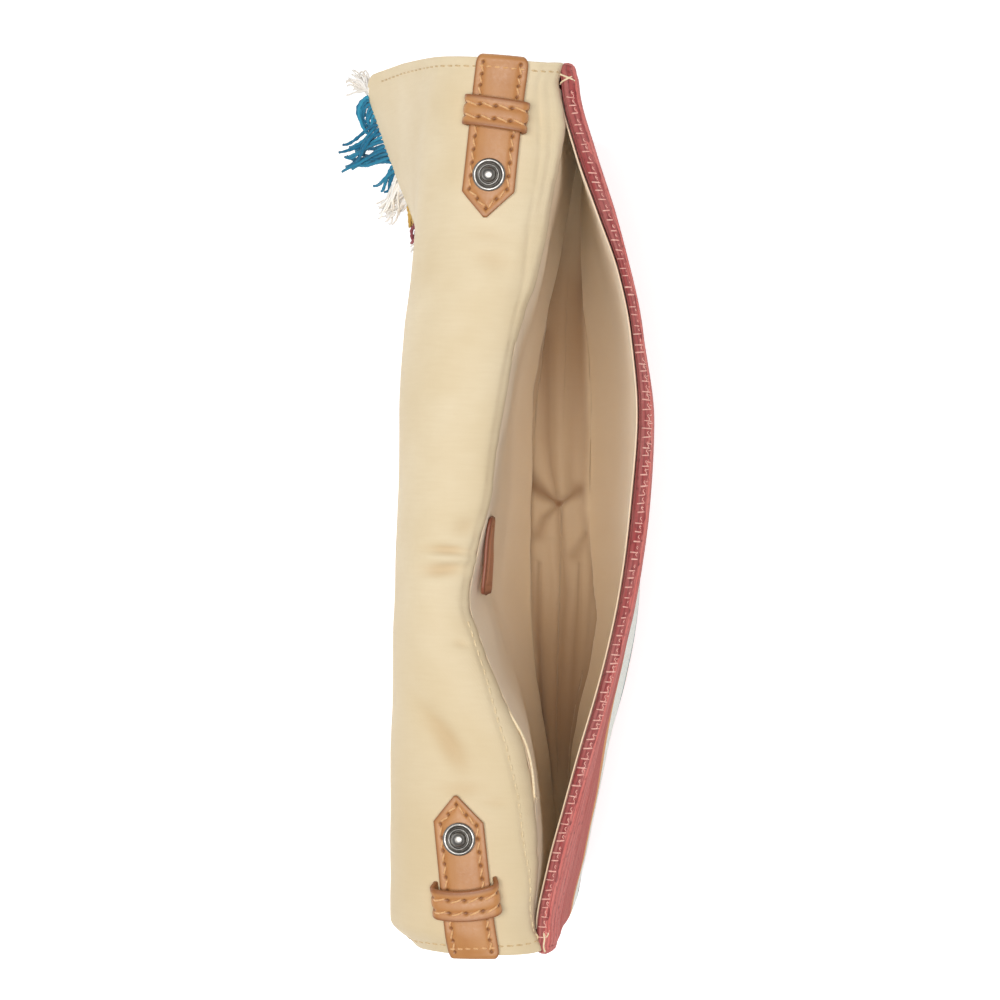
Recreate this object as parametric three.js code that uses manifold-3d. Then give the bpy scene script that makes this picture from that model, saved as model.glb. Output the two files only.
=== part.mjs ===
// Crossbody pouch bag that stands on its flattened base with its flap thrown open over the back.
// Millimetres, +Z up. X runs along the bag's width, the front faces -Y and the flap hangs on the +Y side.
// The origin is on the resting face, at mid width, in the plane of the two side seams.
import * as THREE from 'three';
import { mergeVertices } from 'three/addons/utils/BufferGeometryUtils.js';
import Module from 'manifold-3d';

const wasm = await Module();
wasm.setup();

// Driving dimensions
const BAG_WIDTH = 300;
const MOUTH_HEIGHT = 200;
const FLAP_LENGTH = 108;
const PANEL_THICK = 1.5;
const LINING_THICK = 1.0;
const GAP = 0.3;

// Mouth hem of the front panel
const HEM_HEIGHT = 9;
const HEM_BLEND = 26;
const FRONT_SAG = 3;

// Base and walls
const BASE_FLAT_SHARE = 0.75;
const BASE_ROUND = 1.0;
const BACK_BELLY = 2;
const SEAM_HOLD = 6;
const LINING_REACH = 141;
const LINING_DROP = 1;

// Slack of the back wall's lining, which hangs inwards below the mouth around one place along the width.
const SLACK = 3;
const SLACK_X = -38;
const SLACK_HALF = 14;
const SLACK_START = 3;
const SLACK_FULL = 33;
const SLACK_FADE = 60;
const SLACK_END = 120;

// Flap arch: where its crest is along the span, how high it rises, and how far it turns before it hangs
const CREST_SHARE = 0.4;
const CREST_RISE = 0.25;
const FLAP_TURN = 25;

// Fringe along the flap's free edge
const FRINGE_LENGTH = 26;
const FRINGE_CLEAR = 1.2;
const FRINGE_ROOT_THICK = 4;
const FRINGE_TIP_THICK = 2.5;
const FRINGE_SPLAY = 3;
const FRINGE_EXTRA_SPLAY = 0.6;
const FRINGE_STEP = 16;

// Leather tabs, their keepers and their snap studs
const LEATHER_THICK = 1.3;
const TAB_WIDTH = 15.6;
const TAB_LENGTH = 54;
const TAB_POINT = 8.6;
const TAB_TIP_WIDTH = 2;
const TAB_TURN_BACK = 12;
const TAB_FOLD_ROUND = 1;
const TAB_CLEAR = 0.6;
const KEEPER_WIDTH = 18.9;
const KEEPER_BAND = 9.2;
const KEEPER_ROOM = 2.4;
const KEEPER_ROUND = 2.2;
const KEEPER_AT = 20;
const STUD_AT = 40;
const STUD_RADIUS = 5.5;
const STUD_HEIGHT = 3.6;
const RIVET_RADIUS = 1.7;
const RIVET_SIDES = 16;
const STUD_SIDES = 20;

// Upper profile of the stud as shares of its radius and height, from the flange over the groove to the post.
const STUD_PROFILE = [
  { out: 1, up: 0.24 },
  { out: 0.93, up: 0.38 },
  { out: 0.76, up: 0.36 },
  { out: 0.64, up: 0.26 },
  { out: 0.56, up: 0.5 },
  { out: 0.46, up: 0.54 },
  { out: 0.42, up: 0.8 },
  { out: 0.32, up: 0.95 },
  { out: 0.2, up: 1 },
];
const STUD_FOOT_SHARE = 0.96;

// Leather patch inside the pouch, on the back wall
const PATCH_LENGTH = 26;
const PATCH_HEIGHT = 17;
const PATCH_CENTRE_X = -16.5;
const PATCH_BELOW_EDGE = 6;
const PATCH_THICK = 1.2;
const PATCH_CORNER = 3;
const PATCH_CLEAR = 0.7;
const PATCH_COLUMNS = [-0.3, 0, 0.3];
const PATCH_ROWS = [-1, -0.5, 0, 0.5, 1];
const CORNER_STEPS = [0, 0.3, 1];

// One row for each section across the bag's width. Distances are from the plane of the side seams:
// front and back are the mouth's two edges, base is half the resting width, seam is the base's middle,
// lift raises the base's corners, belly bulges the front wall, reach is how far down the bulge is, as a share
// of the wall, hem is the front hem's thickness, far is the flap's hanging plane and lean is how far the
// hanging flap slopes outwards, in degrees.
const COLUMNS = ['x', 'front', 'back', 'base', 'seam', 'lift', 'belly', 'reach', 'hem', 'far', 'lean'];
const SECTIONS = [
  [-150, -1.2, 1.6, 0.5, 1.4, 11, 8, 0.22, 4.5, 43, 0],
  [-141, -1.5, 4.8, 2.5, 2.6, 6, 13, 0.22, 4.2, 51, 0],
  [-120, 1.8, 2.8, 5, 5.2, 1, 16, 0.22, 4, 51.5, 0],
  [-100, 6.6, 4.2, 8, 7.2, 0, 15, 0.24, 4, 52, 0],
  [-80, 11.7, 8.2, 11, 8, 0, 12, 0.36, 4, 52.5, 0],
  [-62, 16.6, 16.6, 14, 8, 0, 10, 0.6, 3.8, 52.5, 0],
  [-46, 20.3, 23.4, 15.5, 8, 0, 8.5, 0.6, 3.7, 52.5, 0],
  [-31, 23.1, 28, 16, 8, 0, 6, 0.6, 4, 52.3, 0],
  [-16, 25.1, 25.8, 16, 8, 0, 3, 0.5, 4.4, 52, 0],
  [0, 26.5, 22.6, 16, 8, 0, 1, 0.35, 4.8, 52, 0],
  [30, 28.1, 18.8, 16, 8, 0, 1, 0.35, 4.4, 52, 0],
  [60, 25.1, 13.8, 14, 8, 0, 0, 0.35, 2.8, 50.5, 0],
  [80, 20.5, 8.4, 11, 8, 0, 0, 0.35, 2.8, 48.5, 1.5],
  [100, 12.9, 5, 8, 7, 0, 0.5, 0.3, 4.4, 48, 7.5],
  [120, 5.2, 2.4, 4.6, 6, 1, 1, 0.3, 5, 48, 17.5],
  [141, -0.6, 3.6, 2.5, 3.6, 6, 1, 0.3, 4.8, 48, 26.5],
  [150, -1.2, 1.6, 0.5, 2.6, 11, 0.5, 0.3, 4.5, 48, 31],
];

// Soft dents and swells of the flap, by place along the width and along its length from the mouth,
// with half sizes and the height along the surface's normal.
const FLAP_FOLDS = [
  { x: -78, s: 24, halfX: 17, halfS: 15, height: -2.4 },
  { x: -20, s: 58, halfX: 30, halfS: 20, height: 1.2 },
  { x: 60, s: 62, halfX: 34, halfS: 22, height: 1.4 },
];

// Where the sheets are divided, along the width and along the lengths of walls and flap.
const STATIONS = [
  -150, -146, -141, -131, -118, -104, -90, -76, -62, -48, -38, -28, -16, 0, 18, 38, 58, 76, 92, 106, 120,
  132, 141, 146, 150,
];
const WALL_ROWS = [0, 0.028, 0.055, 0.085, 0.12, 0.17, 0.26, 0.4, 0.56, 0.72];
const HEM_ROWS = [HEM_HEIGHT + HEM_BLEND, HEM_HEIGHT + HEM_BLEND / 2, HEM_HEIGHT, 0];
const FLAP_ROWS = [0, 0.04, 0.08, 0.13, 0.18, 0.24, 0.31, 0.38, 0.45, 0.52, 0.6, 0.72, 0.86, 1];

// Fringe blocks from the right end to the left end, each with the place where it stops.
const FRINGE_BLOCKS = [
  { colour: 'cream', to: 146 },
  { colour: 'blue', to: 118 },
  { colour: 'cream', to: 107 },
  { colour: 'mustard', to: 101 },
  { colour: 'maroon', to: 96 },
  { colour: 'cream', to: 52 },
  { colour: 'blue', to: 23 },
  { colour: 'cream', to: -23 },
  { colour: 'blue', to: -52 },
  { colour: 'cream', to: -96 },
  { colour: 'maroon', to: -101 },
  { colour: 'mustard', to: -107 },
  { colour: 'cream', to: -118 },
  { colour: 'blue', to: -146 },
  { colour: 'cream', to: -150 },
];

// The two tabs. side is the end of the bag, start is the tab's middle at the flap's edge measured from
// the mouth, slope is how much it slants along the flap, tilt how much its keeper slants.
const TABS = [
  { name: 'right', side: 1, start: 23.3, slope: 0.012, tilt: 0.16 },
  { name: 'left', side: -1, start: 25, slope: 0.09, tilt: 0.128 },
];

const COLOURS = {
  red: 0xa8474a,
  cotton: 0xe6d2ac,
  leather: 0xc08a52,
  metal: 0x8b8a88,
  cream: 0xeee6d6,
  blue: 0x1c7d9e,
  mustard: 0xc79a3c,
  maroon: 0x7d2f3a,
};

const HALF_WIDTH = BAG_WIDTH / 2;

// A smooth curve through one column of the sections that never overshoots its rows.
function columnCurve(column) {
  const xs = SECTIONS.map((row) => row[0]);
  const ys = SECTIONS.map((row) => row[COLUMNS.indexOf(column)]);
  const last = xs.length - 1;
  const steps = xs.slice(1).map((x, i) => (ys[i + 1] - ys[i]) / (x - xs[i]));
  const slopes = xs.map((x, i) => {
    if (i === 0) return steps[0];
    if (i === last) return steps[last - 1];
    if (steps[i - 1] * steps[i] <= 0) return 0;
    return (2 * steps[i - 1] * steps[i]) / (steps[i - 1] + steps[i]);
  });
  return (asked) => {
    const x = Math.min(Math.max(asked, xs[0]), xs[last]);
    let i = 0;
    while (i < last - 1 && x > xs[i + 1]) i += 1;
    const width = xs[i + 1] - xs[i];
    const t = (x - xs[i]) / width;
    const rest = 1 - t;
    return (
      ys[i] * rest * rest * (1 + 2 * t) +
      ys[i + 1] * t * t * (3 - 2 * t) +
      slopes[i] * width * t * rest * rest -
      slopes[i + 1] * width * t * t * rest
    );
  };
}

const section = {};
for (const column of COLUMNS.slice(1)) {
  section[column] = columnCurve(column);
}

// Profile of one wall at a station, from the base seam to the mouth, as a path in (y, z).
// side is -1 for the front and +1 for the back. At the side seams the back wall follows the front's bulge.
function wallPath(side, x) {
  const bottom = PANEL_THICK + section.lift(x);
  const base = section.base(x);
  const middle = section.seam(x);
  const shut = (x / HALF_WIDTH) ** 2;
  const top = side < 0 ? MOUTH_HEIGHT - FRONT_SAG * (1 - shut) : MOUTH_HEIGHT;
  const edge = side < 0 ? -section.front(x) : section.back(x);
  const frontBelly = section.belly(x);
  const belly = side < 0 ? frontBelly : BACK_BELLY * (1 - shut) - frontBelly * shut ** SEAM_HOLD;
  const flatEnd = middle + side * base * BASE_FLAT_SHARE;
  const path = new THREE.Path();
  path.moveTo(middle + (side * GAP) / 2, bottom);
  path.lineTo(flatEnd, bottom);
  path.bezierCurveTo(
    flatEnd + side * base * BASE_ROUND,
    bottom,
    edge + side * belly,
    top - (top - bottom) * section.reach(x),
    edge,
    top,
  );
  return path;
}

// Profile of the flap at a station, from the mouth's back edge over the crest to the free edge.
function flapPath(x) {
  const start = section.back(x);
  const far = section.far(x);
  const span = far - start;
  const crest = start + span * CREST_SHARE;
  const rise = span * CREST_RISE;
  const foot = MOUTH_HEIGHT + GAP;
  const reach = far - crest;
  const lean = THREE.MathUtils.degToRad(section.lean(x));
  const turnEnd = Math.atan((Math.tan(lean) * FLAP_TURN) / reach);
  const path = new THREE.Path();
  path.moveTo(start, foot);
  path.absellipse(crest, foot, crest - start, rise, Math.PI, Math.PI / 2, true);
  path.absellipse(crest, foot + rise - FLAP_TURN, reach, FLAP_TURN, Math.PI / 2, turnEnd, true);
  const left = FLAP_LENGTH - path.getLength();
  const end = path.getPoint(1);
  path.lineTo(end.x + left * Math.sin(lean), end.y - left * Math.cos(lean));
  return path;
}

// Paths are worked out once for each station that is asked for.
const madePaths = new Map();
function pathAt(kind, x) {
  const key = `${kind} ${x}`;
  if (!madePaths.has(key)) {
    const make = { front: () => wallPath(-1, x), back: () => wallPath(1, x), flap: () => flapPath(x) };
    madePaths.set(key, make[kind]());
  }
  return madePaths.get(key);
}

function onPath(kind, x, share) {
  const inside = Math.min(Math.max(x, -HALF_WIDTH), HALF_WIDTH);
  const at = pathAt(kind, inside).getPoint(share);
  return new THREE.Vector3(x, at.x, at.y);
}

function foldHeight(x, s) {
  return FLAP_FOLDS.reduce((sum, fold) => {
    const far = ((x - fold.x) / fold.halfX) ** 2 + ((s - fold.s) / fold.halfS) ** 2;
    return sum + fold.height * Math.exp(-far);
  }, 0);
}

// Normal of a sheet at a place, by small steps along the width and along the path.
const STEP_X = 0.5;
const STEP_SHARE = 0.004;
function sheetNormal(kind, x, share) {
  const inside = Math.min(Math.max(x, -HALF_WIDTH), HALF_WIDTH);
  const right = Math.min(inside + STEP_X, HALF_WIDTH);
  const left = Math.max(inside - STEP_X, -HALF_WIDTH);
  const upper = Math.min(share + STEP_SHARE, 1);
  const lower = Math.max(share - STEP_SHARE, 0);
  const across = onPath(kind, right, share).sub(onPath(kind, left, share));
  const along = onPath(kind, inside, upper).sub(onPath(kind, inside, lower));
  const normal = across.cross(along).normalize();
  return kind === 'front' ? normal : normal.negate();
}

// Place on a sheet at a height over its middle face. The normal points out of the pouch on the walls,
// and to the woven side on the flap.
function onSheet(kind, x, share, height) {
  const normal = sheetNormal(kind, x, share);
  const extra = kind === 'flap' ? -foldHeight(x, share * FLAP_LENGTH) : 0;
  return onPath(kind, x, share).addScaledVector(normal, height + extra);
}

// Closed solid between two grids of points that have the same rows and columns. Neighbouring sheets keep
// their gap when their quads are cut along the same diagonals: crossed tells which rows take the other one.
function solidBetween(under, over, crossed = () => false) {
  const rows = under.length;
  const columns = under[0].length;
  const places = [...under.flat(), ...over.flat()].flatMap((point) => point.toArray());
  const shift = rows * columns;
  const at = (row, column) => row * columns + column;
  const faces = [];
  for (let row = 0; row + 1 < rows; row += 1) {
    for (let column = 0; column + 1 < columns; column += 1) {
      const quad = [at(row, column), at(row, column + 1), at(row + 1, column + 1), at(row + 1, column)];
      const halves = crossed(row) ? [[0, 1, 3], [1, 2, 3]] : [[0, 1, 2], [0, 2, 3]];
      for (const half of halves) {
        const [a, b, c] = half.map((corner) => quad[corner]);
        faces.push(a + shift, b + shift, c + shift, a, c, b);
      }
    }
  }
  const rim = (a, b) => faces.push(a, b, b + shift, a, b + shift, a + shift);
  for (let column = 0; column + 1 < columns; column += 1) {
    rim(at(0, column), at(0, column + 1));
    rim(at(rows - 1, column + 1), at(rows - 1, column));
  }
  for (let row = 0; row + 1 < rows; row += 1) {
    rim(at(row + 1, 0), at(row, 0));
    rim(at(row, columns - 1), at(row + 1, columns - 1));
  }
  const geometry = new THREE.BufferGeometry();
  geometry.setAttribute('position', new THREE.Float32BufferAttribute(places, 3));
  geometry.setIndex(facingOut(places, faces));
  return geometry;
}

// Turns a closed surface's faces outwards by the sign of its volume.
function facingOut(places, faces) {
  const corner = (i) => new THREE.Vector3().fromArray(places, 3 * i);
  let volume = 0;
  for (let i = 0; i < faces.length; i += 3) {
    volume += corner(faces[i]).dot(corner(faces[i + 1]).cross(corner(faces[i + 2])));
  }
  if (volume > 0) return faces;
  const turned = [];
  for (let i = 0; i < faces.length; i += 3) turned.push(faces[i], faces[i + 2], faces[i + 1]);
  return turned;
}

// Sheets of cloth
function wallRows(kind, x) {
  const length = pathAt(kind, x).getLength();
  return [...WALL_ROWS, ...HEM_ROWS.map((below) => 1 - below / length)];
}

function hemThickness(x, below) {
  const share = THREE.MathUtils.clamp((HEM_HEIGHT + HEM_BLEND - below) / HEM_BLEND, 0, 1);
  return PANEL_THICK + (section.hem(x) - PANEL_THICK) * share;
}

function makePanel(kind) {
  const grid = (heightAt) =>
    wallRows(kind, 0).map((unused, row) =>
      STATIONS.map((x) => {
        const share = wallRows(kind, x)[row];
        const below = (1 - share) * pathAt(kind, x).getLength();
        return onSheet(kind, x, share, heightAt(x, below));
      }),
    );
  const thickness = kind === 'front' ? hemThickness : () => PANEL_THICK;
  return solidBetween(grid(() => 0), grid(thickness));
}

// Distance that the lining keeps from a wall's middle face.
function liningGap(kind, x, below) {
  if (kind === 'front') return GAP;
  const { smoothstep } = THREE.MathUtils;
  const down = smoothstep(below, SLACK_START, SLACK_FULL) * (1 - smoothstep(below, SLACK_FADE, SLACK_END));
  return GAP + SLACK * down * Math.exp(-(((x - SLACK_X) / SLACK_HALF) ** 2));
}

function makePouchLining() {
  const stations = STATIONS.filter((x) => Math.abs(x) <= LINING_REACH);
  const rows = wallRows('front', 0).length;
  const order = [];
  for (let row = rows - 1; row > 0; row -= 1) order.push({ kind: 'front', row });
  for (let row = 1; row < rows; row += 1) order.push({ kind: 'back', row });
  const grid = (height) =>
    order.map(({ kind, row }) =>
      stations.map((x) => {
        const length = pathAt(kind, x).getLength();
        const share = Math.min(wallRows(kind, x)[row], 1 - LINING_DROP / length);
        return onSheet(kind, x, share, height - liningGap(kind, x, (1 - share) * length));
      }),
    );
  return solidBetween(grid(0), grid(-LINING_THICK), (row) => order[row].kind === 'front');
}

function makeFlap(lower, upper) {
  const grid = (height) => FLAP_ROWS.map((share) => STATIONS.map((x) => onSheet('flap', x, share, height)));
  return solidBetween(grid(lower), grid(upper));
}

// Fringe: a tapering slab that carries on from the flap's free edge and splays outwards.
function fringePoint(x, drop, height) {
  const root = onSheet('flap', x, 1, 0);
  const lean = section.lean(x);
  const slope = THREE.MathUtils.degToRad(lean + FRINGE_SPLAY + FRINGE_EXTRA_SPLAY * lean);
  const down = new THREE.Vector3(0, Math.sin(slope), -Math.cos(slope));
  const out = new THREE.Vector3(0, Math.cos(slope), Math.sin(slope));
  return root.addScaledVector(down, drop).addScaledVector(out, height);
}

function makeFringe(from, to) {
  const length = from - to - GAP;
  const parts = Math.max(1, Math.round(length / FRINGE_STEP));
  const stations = Array.from({ length: parts + 1 }, (unused, i) => from - GAP / 2 - (length * i) / parts);
  const drops = [FRINGE_CLEAR, FRINGE_LENGTH / 2, FRINGE_LENGTH];
  const grid = (side) =>
    drops.map((drop) => {
      const thick = THREE.MathUtils.lerp(FRINGE_ROOT_THICK, FRINGE_TIP_THICK, drop / FRINGE_LENGTH);
      return stations.map((x) => fringePoint(x, drop, (side * thick) / 2));
    });
  return solidBetween(grid(-1), grid(1));
}

// Place on a tab's own frame: a runs inwards from the flap's side edge, b across towards the free edge,
// and height rises from the flap's middle face on the lining's side.
function onTab(tab, a, b, height) {
  const s = tab.start + tab.slope * Math.max(a, 0) + b;
  return onSheet('flap', tab.side * (HALF_WIDTH - a), s / FLAP_LENGTH, -height);
}

const LINING_TOP = GAP + LINING_THICK;
const TAB_MIDDLE = LINING_TOP + TAB_CLEAR + LEATHER_THICK / 2;
const TAB_TOP = TAB_MIDDLE + LEATHER_THICK / 2;
const TAB_UNDER = -PANEL_THICK - TAB_CLEAR - LEATHER_THICK / 2;
const TAB_OVER_EDGE = -GAP - LEATHER_THICK / 2;

function tabHalfWidth(a) {
  const pointed = THREE.MathUtils.clamp((a - TAB_LENGTH + TAB_POINT) / TAB_POINT, 0, 1);
  return THREE.MathUtils.lerp(TAB_WIDTH, TAB_TIP_WIDTH, pointed) / 2;
}

// Middle line of the tab in (a, height): along the lining, round the flap's side edge and a little way back.
// Each stretch has the number of parts that it is divided into.
function tabStretches() {
  const round = TAB_FOLD_ROUND;
  const corner = TAB_OVER_EDGE + round;
  const line = (fromA, fromHeight, toA, toHeight) =>
    new THREE.LineCurve(new THREE.Vector2(fromA, fromHeight), new THREE.Vector2(toA, toHeight));
  const arc = (height, from, to) => new THREE.EllipseCurve(corner, height, round, round, from, to);
  const shoulder = TAB_LENGTH - TAB_POINT;
  return [
    { curve: line(TAB_LENGTH, TAB_MIDDLE, shoulder, TAB_MIDDLE), parts: 2 },
    { curve: line(shoulder, TAB_MIDDLE, corner, TAB_MIDDLE), parts: 7 },
    { curve: arc(TAB_MIDDLE - round, Math.PI / 2, Math.PI), parts: 2 },
    { curve: line(TAB_OVER_EDGE, TAB_MIDDLE - round, TAB_OVER_EDGE, TAB_UNDER + round), parts: 1 },
    { curve: arc(TAB_UNDER + round, Math.PI, 1.5 * Math.PI), parts: 2 },
    { curve: line(corner, TAB_UNDER, TAB_TURN_BACK, TAB_UNDER), parts: 2 },
  ];
}

// Points of the middle line with their outward directions.
function tabLinePoints() {
  const points = [];
  tabStretches().forEach(({ curve, parts }, which) => {
    for (let i = which === 0 ? 0 : 1; i <= parts; i += 1) {
      const tangent = curve.getTangent(i / parts);
      points.push({ at: curve.getPoint(i / parts), out: new THREE.Vector2(tangent.y, -tangent.x) });
    }
  });
  return points;
}

const TAB_COLUMNS = [-1, -0.67, -0.33, 0, 0.33, 0.67, 1];
function makeTab(tab) {
  const points = tabLinePoints();
  const grid = (side) =>
    points.map(({ at, out }) => {
      const shift = (side * LEATHER_THICK) / 2;
      const a = at.x + out.x * shift;
      const height = at.y + out.y * shift;
      return TAB_COLUMNS.map((column) => onTab(tab, a, column * tabHalfWidth(at.x), height));
    });
  const plate = solidBetween(grid(-1), grid(1));
  const radius = RIVET_RADIUS + GAP;
  const hole = new THREE.CylinderGeometry(radius, radius, 4 * LEATHER_THICK, RIVET_SIDES);
  hole.rotateX(Math.PI / 2);
  hole.applyMatrix4(studPlace(tab));
  return fromManifold(toManifold(plate).subtract(toManifold(hole)));
}

// Frame of the stud: origin on the tab's upper face, z along the flap's normal.
function studPlace(tab) {
  const origin = onTab(tab, STUD_AT, 0, TAB_TOP);
  const normal = onTab(tab, STUD_AT, 0, TAB_TOP + 1).sub(origin).normalize();
  const turn = new THREE.Quaternion().setFromUnitVectors(new THREE.Vector3(0, 0, 1), normal);
  return new THREE.Matrix4().compose(origin, turn, new THREE.Vector3(1, 1, 1));
}

function makeStud(tab) {
  const upper = STUD_PROFILE.map(({ out, up }) => new THREE.Vector2(out * STUD_RADIUS, up * STUD_HEIGHT));
  const profile = [
    new THREE.Vector2(0, -LEATHER_THICK),
    new THREE.Vector2(RIVET_RADIUS, -LEATHER_THICK),
    new THREE.Vector2(RIVET_RADIUS, GAP),
    new THREE.Vector2(STUD_FOOT_SHARE * STUD_RADIUS, GAP),
    ...upper,
    new THREE.Vector2(0, STUD_HEIGHT),
  ];
  const geometry = new THREE.LatheGeometry(profile, STUD_SIDES);
  geometry.rotateX(Math.PI / 2);
  geometry.applyMatrix4(studPlace(tab));
  return geometry;
}

// Keeper: a strap loop that bridges the tab, with its two feet on the lining.
function keeperOutline() {
  const half = KEEPER_WIDTH / 2;
  const foot = LINING_TOP + TAB_CLEAR;
  const roof = TAB_TOP + KEEPER_ROOM + LEATHER_THICK;
  const inner = half - LEATHER_THICK;
  const innerRoof = roof - LEATHER_THICK;
  const innerRound = KEEPER_ROUND - LEATHER_THICK;
  const shape = new THREE.Shape();
  shape.moveTo(half, foot);
  shape.lineTo(half, roof - KEEPER_ROUND);
  shape.absarc(half - KEEPER_ROUND, roof - KEEPER_ROUND, KEEPER_ROUND, 0, Math.PI / 2, false);
  shape.lineTo(0, roof);
  shape.absarc(KEEPER_ROUND - half, roof - KEEPER_ROUND, KEEPER_ROUND, Math.PI / 2, Math.PI, false);
  shape.lineTo(-half, foot);
  shape.lineTo(-inner, foot);
  shape.absarc(innerRound - inner, innerRoof - innerRound, innerRound, Math.PI, Math.PI / 2, true);
  shape.lineTo(0, innerRoof);
  shape.absarc(inner - innerRound, innerRoof - innerRound, innerRound, Math.PI / 2, 0, true);
  shape.lineTo(inner, foot);
  return shape;
}

function makeKeeper(tab) {
  const geometry = new THREE.ExtrudeGeometry(keeperOutline(), {
    depth: KEEPER_BAND,
    steps: 2,
    bevelEnabled: false,
    curveSegments: 3,
  });
  const place = geometry.getAttribute('position');
  for (let i = 0; i < place.count; i += 1) {
    const b = place.getX(i);
    const a = KEEPER_AT + place.getZ(i) - KEEPER_BAND / 2 - b * tab.tilt;
    const at = onTab(tab, a, b, place.getY(i));
    place.setXYZ(i, at.x, at.y, at.z);
  }
  return outward(geometry);
}

// Leather patch with rounded corners, laid on the lining of the back wall.
function makePatch() {
  const rounding = CORNER_STEPS.map((share) => PATCH_CORNER * share);
  const half = PATCH_LENGTH / 2;
  const inner = PATCH_COLUMNS.map((share) => share * PATCH_LENGTH);
  const offsets = [...rounding.map((r) => r - half), ...inner, ...rounding.map((r) => half - r).reverse()];
  const grid = (height) =>
    PATCH_ROWS.map((row) =>
      offsets.map((offset) => {
        const intoCorner = Math.max(0, Math.abs(offset) - half + PATCH_CORNER);
        const cut = PATCH_CORNER - Math.sqrt(PATCH_CORNER ** 2 - intoCorner ** 2);
        const x = PATCH_CENTRE_X + offset;
        const below = PATCH_BELOW_EDGE + PATCH_HEIGHT / 2 - row * (PATCH_HEIGHT / 2 - cut);
        const share = 1 - below / pathAt('back', x).getLength();
        return onSheet('back', x, share, height - liningGap('back', x, below));
      }),
    );
  const lower = -LINING_THICK - PATCH_CLEAR;
  return solidBetween(grid(lower), grid(lower - PATCH_THICK));
}

// Closed meshes and boolean solids
const MERGE_TOLERANCE = 1e-4;
function merged(geometry) {
  const plain = geometry.clone();
  plain.deleteAttribute('normal');
  plain.deleteAttribute('uv');
  return mergeVertices(plain, MERGE_TOLERANCE);
}

function outward(geometry) {
  const closed = merged(geometry);
  const places = Array.from(closed.getAttribute('position').array);
  closed.setIndex(facingOut(places, Array.from(closed.index.array)));
  return closed;
}

function toManifold(geometry) {
  const closed = outward(geometry);
  return new wasm.Manifold(
    new wasm.Mesh({
      numProp: 3,
      vertProperties: new Float32Array(closed.getAttribute('position').array),
      triVerts: new Uint32Array(closed.index.array),
    }),
  );
}

function fromManifold(solid) {
  const mesh = solid.getMesh();
  const geometry = new THREE.BufferGeometry();
  geometry.setAttribute('position', new THREE.Float32BufferAttribute(mesh.vertProperties, 3));
  geometry.setIndex(Array.from(mesh.triVerts));
  return geometry;
}

// Materials and the assembled bag
function finish(colour, roughness, metalness) {
  return new THREE.MeshStandardMaterial({ color: COLOURS[colour], roughness, metalness });
}

const woven = finish('red', 0.9, 0);
const cotton = finish('cotton', 0.8, 0);
const leather = finish('leather', 0.55, 0);
const metal = finish('metal', 0.35, 1);

const bag = new THREE.Group();
function addPiece(name, geometry, material) {
  const mesh = new THREE.Mesh(geometry, material);
  mesh.name = name;
  bag.add(mesh);
}

addPiece('front_panel', makePanel('front'), woven);
addPiece('back_panel', makePanel('back'), woven);
addPiece('pouch_lining', makePouchLining(), cotton);
addPiece('flap_shell', makeFlap(0, PANEL_THICK), woven);
addPiece('flap_lining', makeFlap(-GAP - LINING_THICK, -GAP), cotton);
addPiece('inner_patch', makePatch(), leather);
for (const tab of TABS) {
  addPiece(`tab_${tab.name}`, makeTab(tab), leather);
  addPiece(`keeper_${tab.name}`, makeKeeper(tab), leather);
  addPiece(`stud_${tab.name}`, makeStud(tab), metal);
}
FRINGE_BLOCKS.forEach((block, i) => {
  const from = i === 0 ? HALF_WIDTH : FRINGE_BLOCKS[i - 1].to;
  const number = String(i + 1).padStart(2, '0');
  addPiece(`fringe_${number}_${block.colour}`, makeFringe(from, block.to), finish(block.colour, 0.95, 0));
});

export default bag;
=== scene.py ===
# Looks of a soft pouch bag that stands on its base with its flap thrown open over the back.
# Shapes are worked out in millimetres, in the frame's axes, and meshes are made in metres.
import math

import bpy
import numpy as np
from mathutils import Matrix


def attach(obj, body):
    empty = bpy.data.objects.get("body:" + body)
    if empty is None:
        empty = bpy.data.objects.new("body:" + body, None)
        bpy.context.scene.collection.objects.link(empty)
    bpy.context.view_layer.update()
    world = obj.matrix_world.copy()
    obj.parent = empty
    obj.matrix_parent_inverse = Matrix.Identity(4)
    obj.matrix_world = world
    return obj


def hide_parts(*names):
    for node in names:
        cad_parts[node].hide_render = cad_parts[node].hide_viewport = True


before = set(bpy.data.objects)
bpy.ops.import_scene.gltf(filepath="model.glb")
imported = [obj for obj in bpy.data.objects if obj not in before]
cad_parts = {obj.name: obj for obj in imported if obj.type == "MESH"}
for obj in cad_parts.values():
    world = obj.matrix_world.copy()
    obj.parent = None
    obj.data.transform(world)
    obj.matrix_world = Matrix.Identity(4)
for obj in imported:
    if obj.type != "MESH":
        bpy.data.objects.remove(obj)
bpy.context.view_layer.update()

MM = 0.001

# Driving sizes, the same as the frame's
HALF_WIDTH = 150.0
MOUTH_HEIGHT = 200.0
FLAP_LENGTH = 108.0
PANEL_THICK = 1.5
LINING_THICK = 1.0
GAP = 0.3
HEM_HEIGHT = 9.0
HEM_BLEND = 26.0
FRONT_SAG = 3.0
BASE_FLAT_SHARE = 0.75
BASE_ROUND = 1.0
BACK_BELLY = 2.0
SEAM_HOLD = 6
LINING_REACH = 141.0
LINING_DROP = 1.0
CREST_SHARE = 0.4
CREST_RISE = 0.25
FLAP_TURN = 25.0

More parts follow.
